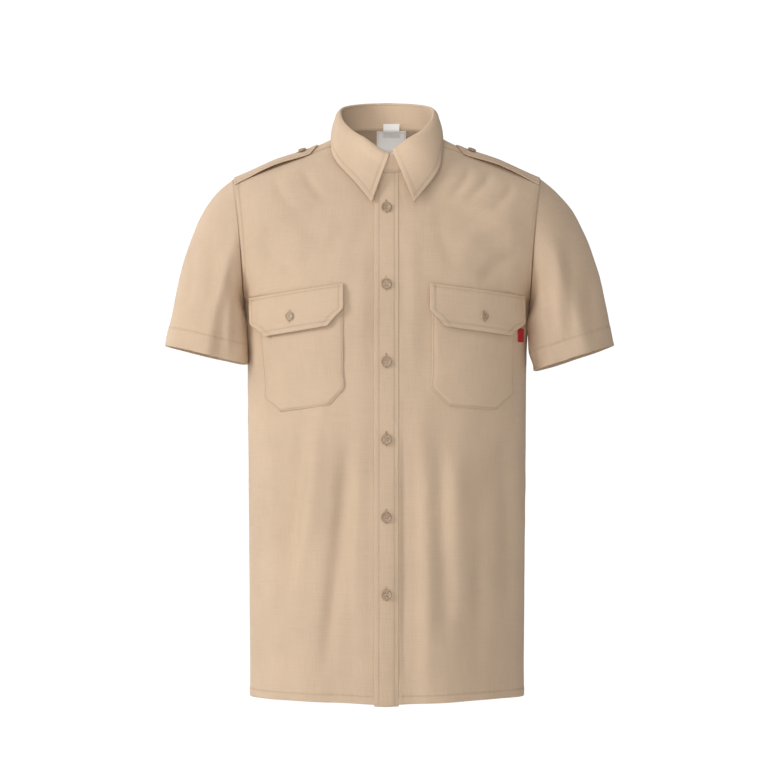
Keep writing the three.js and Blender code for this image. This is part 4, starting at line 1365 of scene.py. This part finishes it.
# Columns of each crease: width or depth, and height, of its start and of its end; bow; width; height.
FRONT_CREASES = creases(Facing.FRONT, (
    (-50, -385, -86, -725, 4, 11, -5.4), (-90, -372, -128, -660, 5, 12, 4.6),
    (-112, -390, -126, -560, 3, 10, -4.0), (-150, -400, -146, -640, 0, 12, 3.6),
    (-37, -420, -40, -660, -2, 6, 1.6), (-23, -400, -24, -720, 0, 4, -1.0),
    (-42, -545, -22, -553, 0, 3, -0.9), (21, -390, 22, -720, 0, 6, -2.0),
    (44, -372, 52, -730, 3, 12, 5.0), (156, -400, 165, -700, 3, 13, -4.4),
    (92, -420, 104, -640, -5, 14, 3.8), (72, -400, 80, -690, -3, 9, -3.0),
    (122, -470, 118, -735, 4, 11, -3.6), (-176, -150, -118, -198, 6, 10, -2.8),
    (178, -160, 122, -202, -6, 10, -2.8), (-168, -108, -100, -152, 5, 11, 2.2),
    (170, -115, 96, -152, -5, 11, 1.6), (-182, -470, -112, -502, 5, 8, -1.3),
    (182, -430, 126, -454, -5, 8, -1.3), (-180, -590, -130, -622, 4, 7, -1.1),
    (60, -625, 120, -655, -4, 8, -1.1), (178, -560, 138, -586, -3, 8, -1.1),
    (140, -52, 102, -90, 4, 7, -2.4), (112, -44, 82, -90, 3, 6, -2.2),
    (168, -68, 138, -102, 3, 7, -2.0), (-112, -46, -76, -94, -4, 7, -2.4),
    (-150, -60, -116, -106, -4, 8, -2.1), (-30, -130, -34, -330, 0, 9, 1.1),
    (33, -120, 36, -340, 0, 9, 1.2), (-60, -105, -84, -185, 4, 10, -1.1),
    (66, -105, 92, -190, -4, 10, -1.2),
))
BACK_CREASES = creases(Facing.BACK, (
    (-62, -150, -72, -420, 4, 11, 4.0), (66, -165, 74, -460, -4, 12, 3.8),
    (-20, -300, -26, -640, 3, 10, -3.8), (34, -360, 40, -700, -3, 11, -4.0),
    (-120, -320, -128, -690, 4, 11, 3.9), (112, -380, 122, -720, -4, 10, 3.6),
    (-160, -180, -92, -300, 10, 10, -3.2), (160, -185, 96, -290, -10, 11, -3.0),
    (-178, -420, -116, -470, 6, 9, -2.0), (176, -480, 114, -520, -6, 9, -2.2),
    (-62, -560, 14, -588, 4, 9, -1.7), (0, -160, 2, -300, 0, 9, -2.2),
    (-150, -105, -96, -140, 4, 9, 1.3), (150, -108, 92, -146, -4, 9, 1.3),
))
SLEEVE_CREASES = creases(Facing.FRONT, (
    (-262, -150, -268, -230, 3, 9, -3.0), (-232, -140, -236, -230, 2, 8, -3.0),
    (-212, -110, -214, -165, 0, 7, -1.8), (-209, -195, -212, -290, 0, 7, 3.2),
    (-285, -200, -292, -280, 2, 9, 1.5), (-240, -240, -246, -300, 0, 8, -1.4),
    (224, -150, 226, -300, 2, 8, 2.2), (240, -140, 244, -280, 2, 8, -2.0),
    (268, -190, 275, -280, 3, 9, -1.6), (290, -180, 296, -270, 2, 8, 1.2),
)) + creases(Facing.BACK, (
    (-225, -150, -250, -260, 3, 9, -2.0), (230, -150, 252, -260, -3, 9, -2.0),
    (-205, -190, -212, -290, 2, 8, 1.8), (210, -190, 216, -290, -2, 8, 1.8),
))
SLEEVE_UNDERARM = (-18, -185, -12, -262, 0, 20, 2.4)
BODY_UNDERARM = (-16, -190, -12, -262, 0, 18, 1.4)


@dataclass
class Shell:
    """Fronts, back, yoke and sleeves, with the band down the front."""

    turn: float = 0.010
    felled: float = 0.0065
    band_inset: float = 0.0055
    yoke_inset: float = 0.0018
    yoke_foot: float = 0.0019
    sleeve_turn: float = 0.025
    step: float = 0.0003

    def body(self) -> list[ClothPiece]:
        """Cuts the body.

        Returns:
            Both fronts and the back, with their creases and seams.
        """
        hem = Seam(Side.LOW, self.turn, step=self.step, pucker=0.0003)
        armhole = {side: Seam(side, self.felled, step=self.step, pucker=0.00018, above=UNDERARM_Z,
                              trim=(0.004, 0.004)) for side in (Side.LEFT, Side.RIGHT)}
        folds = FRONT_CREASES
        for facing in (Facing.LEFT, Facing.RIGHT):
            folds += creases(facing, (BODY_UNDERARM,))
        return [
            ClothPiece("front_left", (0.24, 0.79), 0.163, creases=folds, seams=(hem, armhole[Side.RIGHT]),
                       sewn_edges=(Side.RIGHT, Side.HIGH)),
            ClothPiece("front_right", (0.27, 0.80), 0.182, creases=folds, seams=(hem, armhole[Side.LEFT]),
                       sewn_edges=(Side.LEFT, Side.HIGH)),
            ClothPiece("back", (0.52, 0.69), 0.317, creases=BACK_CREASES,
                       seams=(hem, armhole[Side.LEFT], armhole[Side.RIGHT]),
                       sewn_edges=(Side.LEFT, Side.RIGHT, Side.HIGH)),
        ]

    def yoke(self) -> ClothPiece:
        """Cuts the yoke.

        Returns:
            The yoke, topstitched along its seams with the fronts and the back.
        """
        sides = tuple(Seam(side, self.yoke_inset, step=self.step, trim=(0.006, 0.001))
                      for side in (Side.LEFT, Side.RIGHT))
        foot = Seam(Side.LOW, self.yoke_foot, step=self.step, trim=(0.003, 0.003))
        return ClothPiece("yoke", (0.44, 0.20), 0.062, rows=Pitch(0.0038, 0.0015, 0.01, 0.006),
                          across=Pitch(0.0042, 0.0015, 0.009, 0.009), wave=0.0002, seams=(*sides, foot),
                          sewn_edges=(Side.HIGH,))

    def sleeves(self) -> list[ClothPiece]:
        """Cuts the sleeves.

        Returns:
            Both sleeves, with their turned hems.
        """
        hem = Seam(Side.LOW, self.sleeve_turn, step=self.step, pucker=0.0003)
        plan = (("left", (0.46, 0.25), 0.065, Facing.RIGHT), ("right", (0.46, 0.25), 0.061, Facing.LEFT))
        return [ClothPiece(f"sleeve_{side}", size, area, centre=None,
                           creases=SLEEVE_CREASES + creases(inner, (SLEEVE_UNDERARM,)),
                           rows=Pitch(0.0034, 0.0017, 0.030, 0.006), across=Pitch(0.0036, 0.0036),
                           wave=0.0004, seams=(hem,), sewn_edges=(Side.HIGH,))
                for side, size, area, inner in plan]

    def band(self) -> ClothPiece:
        """Cuts the band.

        Returns:
            The band, stitched near both of its long edges.
        """
        seams = tuple(Seam(side, self.band_inset, dip=0.0001, pucker=0.0002, trim=(0.001, 0.002))
                      for side in (Side.LEFT, Side.RIGHT))
        return ClothPiece("placket", (0.033, 0.71), 0.0232, held=Held.FOLDED, wall=0.0017, wave=0.0002,
                          rows=Pitch(0.004, 0.002, 0.01, 0.01), across=Pitch(0.0012, 0.0008, 0.004, 0.004),
                          sewn_edges=(Side.HIGH,), seams=seams)

    def build(self) -> None:
        """Makes the pieces and their stitching."""
        stitching = Stitching("shell_stitching")
        for piece in (*self.body(), self.yoke(), *self.sleeves(), self.band()):
            piece.build(stitching)
        stitching.build()


@dataclass
class Collar:
    """The collar's stand and leaf, which are interlined and stitched near the leaf's edge."""

    inset: float = 0.0058
    end_trim: float = 0.010
    close: float = 0.00055
    wall: float = 0.0015

    def build(self) -> None:
        """Makes the pieces and their stitching."""
        stitching = Stitching("collar_stitching")
        foot = Seam(Side.LOW, 0.0016, trim=(0.003, 0.003))
        stand = ClothPiece("collar_stand", (0.48, 0.032), 0.0143, held=Held.FOLDED, centre=None,
                           wall=self.wall, rows=Pitch(0.0025, 0.0012, 0.004, 0.004),
                           across=Pitch(0.0035, 0.0012, 0.006, 0.006), wave=0.0001, seams=(foot,),
                           sewn_edges=(Side.LOW, Side.HIGH), close=self.close, valley=0.0)
        seams = tuple(Seam(side, self.inset, pucker=0.00016, trim=(start, self.inset))
                      for side, start in ((Side.HIGH, self.inset), (Side.LEFT, self.end_trim),
                                          (Side.RIGHT, self.end_trim)))
        leaf = ClothPiece("collar_leaf", (0.54, 0.087), 0.0245, held=Held.FOLDED, centre=None, up=(0, 0, -1),
                          rolled=True, wall=self.wall, rows=Pitch(0.0022, 0.0012, 0.008, 0.008),
                          across=Pitch(0.003, 0.0012, 0.008, 0.008), wave=0.0001, seams=seams,
                          sewn_edges=(Side.LOW,), close=self.close, valley=0.0)
        for piece in (stand, leaf):
            piece.build(stitching)
        stitching.build()


@dataclass
class ChestAndShoulders:
    """Patch pockets with buttoned flaps, shoulder straps and the small tab at a pocket's edge."""

    edge: float = 0.0017
    flap_edge: float = 0.0062
    flap_top: float = 0.0035
    strap_edge: float = 0.0050
    wall: float = 0.0013
    pitch: Pitch = Pitch(0.0026, 0.0013, 0.009, 0.009)
    tab_pitch: Pitch = Pitch(0.001, 0.0006, 0.002, 0.002)

    @staticmethod
    def _seams(inset: float, step: float = 0.0, top: float = 0.0) -> tuple[Seam, Seam, Seam]:
        """The stitches round a patch.

        Args:
            inset: how far they lie from its edge.
            step: the step of the cloth there.
            top: how far below its upper edge they end.

        Returns:
            The seams of its foot and of its two sides.
        """
        left, right = (Seam(side, inset, step=step, trim=(inset, top)) for side in (Side.LEFT, Side.RIGHT))
        return Seam(Side.LOW, inset, step=step, trim=(inset, inset)), left, right

    def pieces(self, side: str, outwards: float) -> list[ClothPiece]:
        """Cuts what one side of the shirt carries.

        Args:
            side: the wearer's left or right.
            outwards: 1 where that side's width is positive, and -1 where it isn't.

        Returns:
            The pocket, its flap and the strap.
        """
        top = Seam(Side.HIGH, self.flap_top, trim=(0.002, 0.002))
        foot, *long_edges = self._seams(self.strap_edge, 0.0002, 0.001)
        pitches = {"rows": self.pitch, "across": self.pitch}
        return [
            ClothPiece(f"pocket_{side}", (0.117, 0.148), 0.0160, held=Held.LAID, wave=0.00025, press=0.0009,
                       seams=self._seams(self.edge), **pitches),
            ClothPiece(f"flap_{side}", (0.130, 0.063), 0.0078, held=Held.LAID, wall=self.wall, wave=0.00025,
                       seams=(*self._seams(self.flap_edge, 0.00025), top), **pitches),
            ClothPiece(f"strap_{side}", (0.052, 0.121), 0.0056, held=Held.FOLDED, up=(outwards, 0, 0),
                       wall=self.wall, wave=0.0001, seams=(*long_edges, foot), **pitches),
        ]

    def build(self) -> None:
        """Makes the pieces and their stitching."""
        stitching = Stitching("pocket_stitching")
        for side, outwards in (("left", 1.0), ("right", -1.0)):
            for piece in self.pieces(side, outwards):
                piece.build(stitching)
        tab = ClothPiece("pocket_tab", (0.017, 0.018), 0.00030, held=Held.FOLDED, rows=self.tab_pitch,
                         across=self.tab_pitch, wall=0.0008, wave=0.0, finish=TAB_CLOTH, slot=Slot.TAB)
        tab.build(stitching)
        stitching.build()


@dataclass
class Labels:
    """The two labels inside the back of the neck."""

    inset: float = 0.0014
    hang: float = 0.009
    pitch: Pitch = Pitch(0.0015, 0.0008, 0.003, 0.003)

    def build(self) -> None:
        """Makes the labels and the stitches that hold them."""
        stitching = Stitching("label_stitching", length=0.0014, pitch=0.002, width=0.0003, height=0.0002)
        for node, size, sewn, hang in (
            ("label_main", (0.041, 0.047), (Side.LEFT, Side.RIGHT, Side.LOW), self.hang),
            ("label_small", (0.022, 0.022), (), 0.0),
        ):
            seams = tuple(Seam(side, self.inset, dip=0.00012, pucker=0.00008, trim=(0.001, 0.001))
                          for side in sewn)
            label = ClothPiece(node, size, math.prod(size), held=Held.LAID, centre=(0.0, 1.0, 0.0),
                               rows=self.pitch, across=self.pitch, wall=0.0006, wave=0.0001, hang=hang,
                               seams=seams, finish=LABEL_CLOTH, slot=Slot.LABEL)
            label.build(stitching)
        stitching.build()


@dataclass
class Fastenings:
    """Ten buttons, with the buttonholes that they are fastened in."""

    count: int = 6
    front_hole: float = 0.0175
    front_shift: float = 0.0012
    small_hole: float = 0.0145

    def build(self) -> None:
        """Makes the buttons, their threads and the buttonholes."""
        threads = Stitching("button_threads", width=0.0005, height=0.0004)
        holes = Stitching("buttonholes", width=0.0004, height=0.00045)
        for number in range(1, self.count + 1):
            button = Button(f"button_front_{number}", 0.0070, 0.0026, 0.0012, 0.0008)
            button.build()
            button.sew_on(threads)
            button.work_hole(holes, self.front_hole, self.front_shift)
        for place, up in (("flap", UPWARDS), ("strap", (1.0, 0.0, 0.0))):
            for side in ("left", "right"):
                button = Button(f"button_{place}_{side}", 0.0057, 0.0024, 0.0011, 0.0007, up=up, hole=0.00075,
                                spread=0.0014)
                button.build()
                button.sew_on(threads)
                button.work_hole(holes, self.small_hole, 0.0)
        threads.build()
        holes.build()


def main() -> None:
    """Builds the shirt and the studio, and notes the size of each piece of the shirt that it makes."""
    logging.basicConfig(level=logging.INFO, format="%(name)s: %(message)s")
    for part in (Studio(), Shell(), Collar(), ChestAndShoulders(), Labels(), Fastenings()):
        part.build()
        LOG.info("%s done", type(part).__name__)


if __name__ == "__main__":
    main()
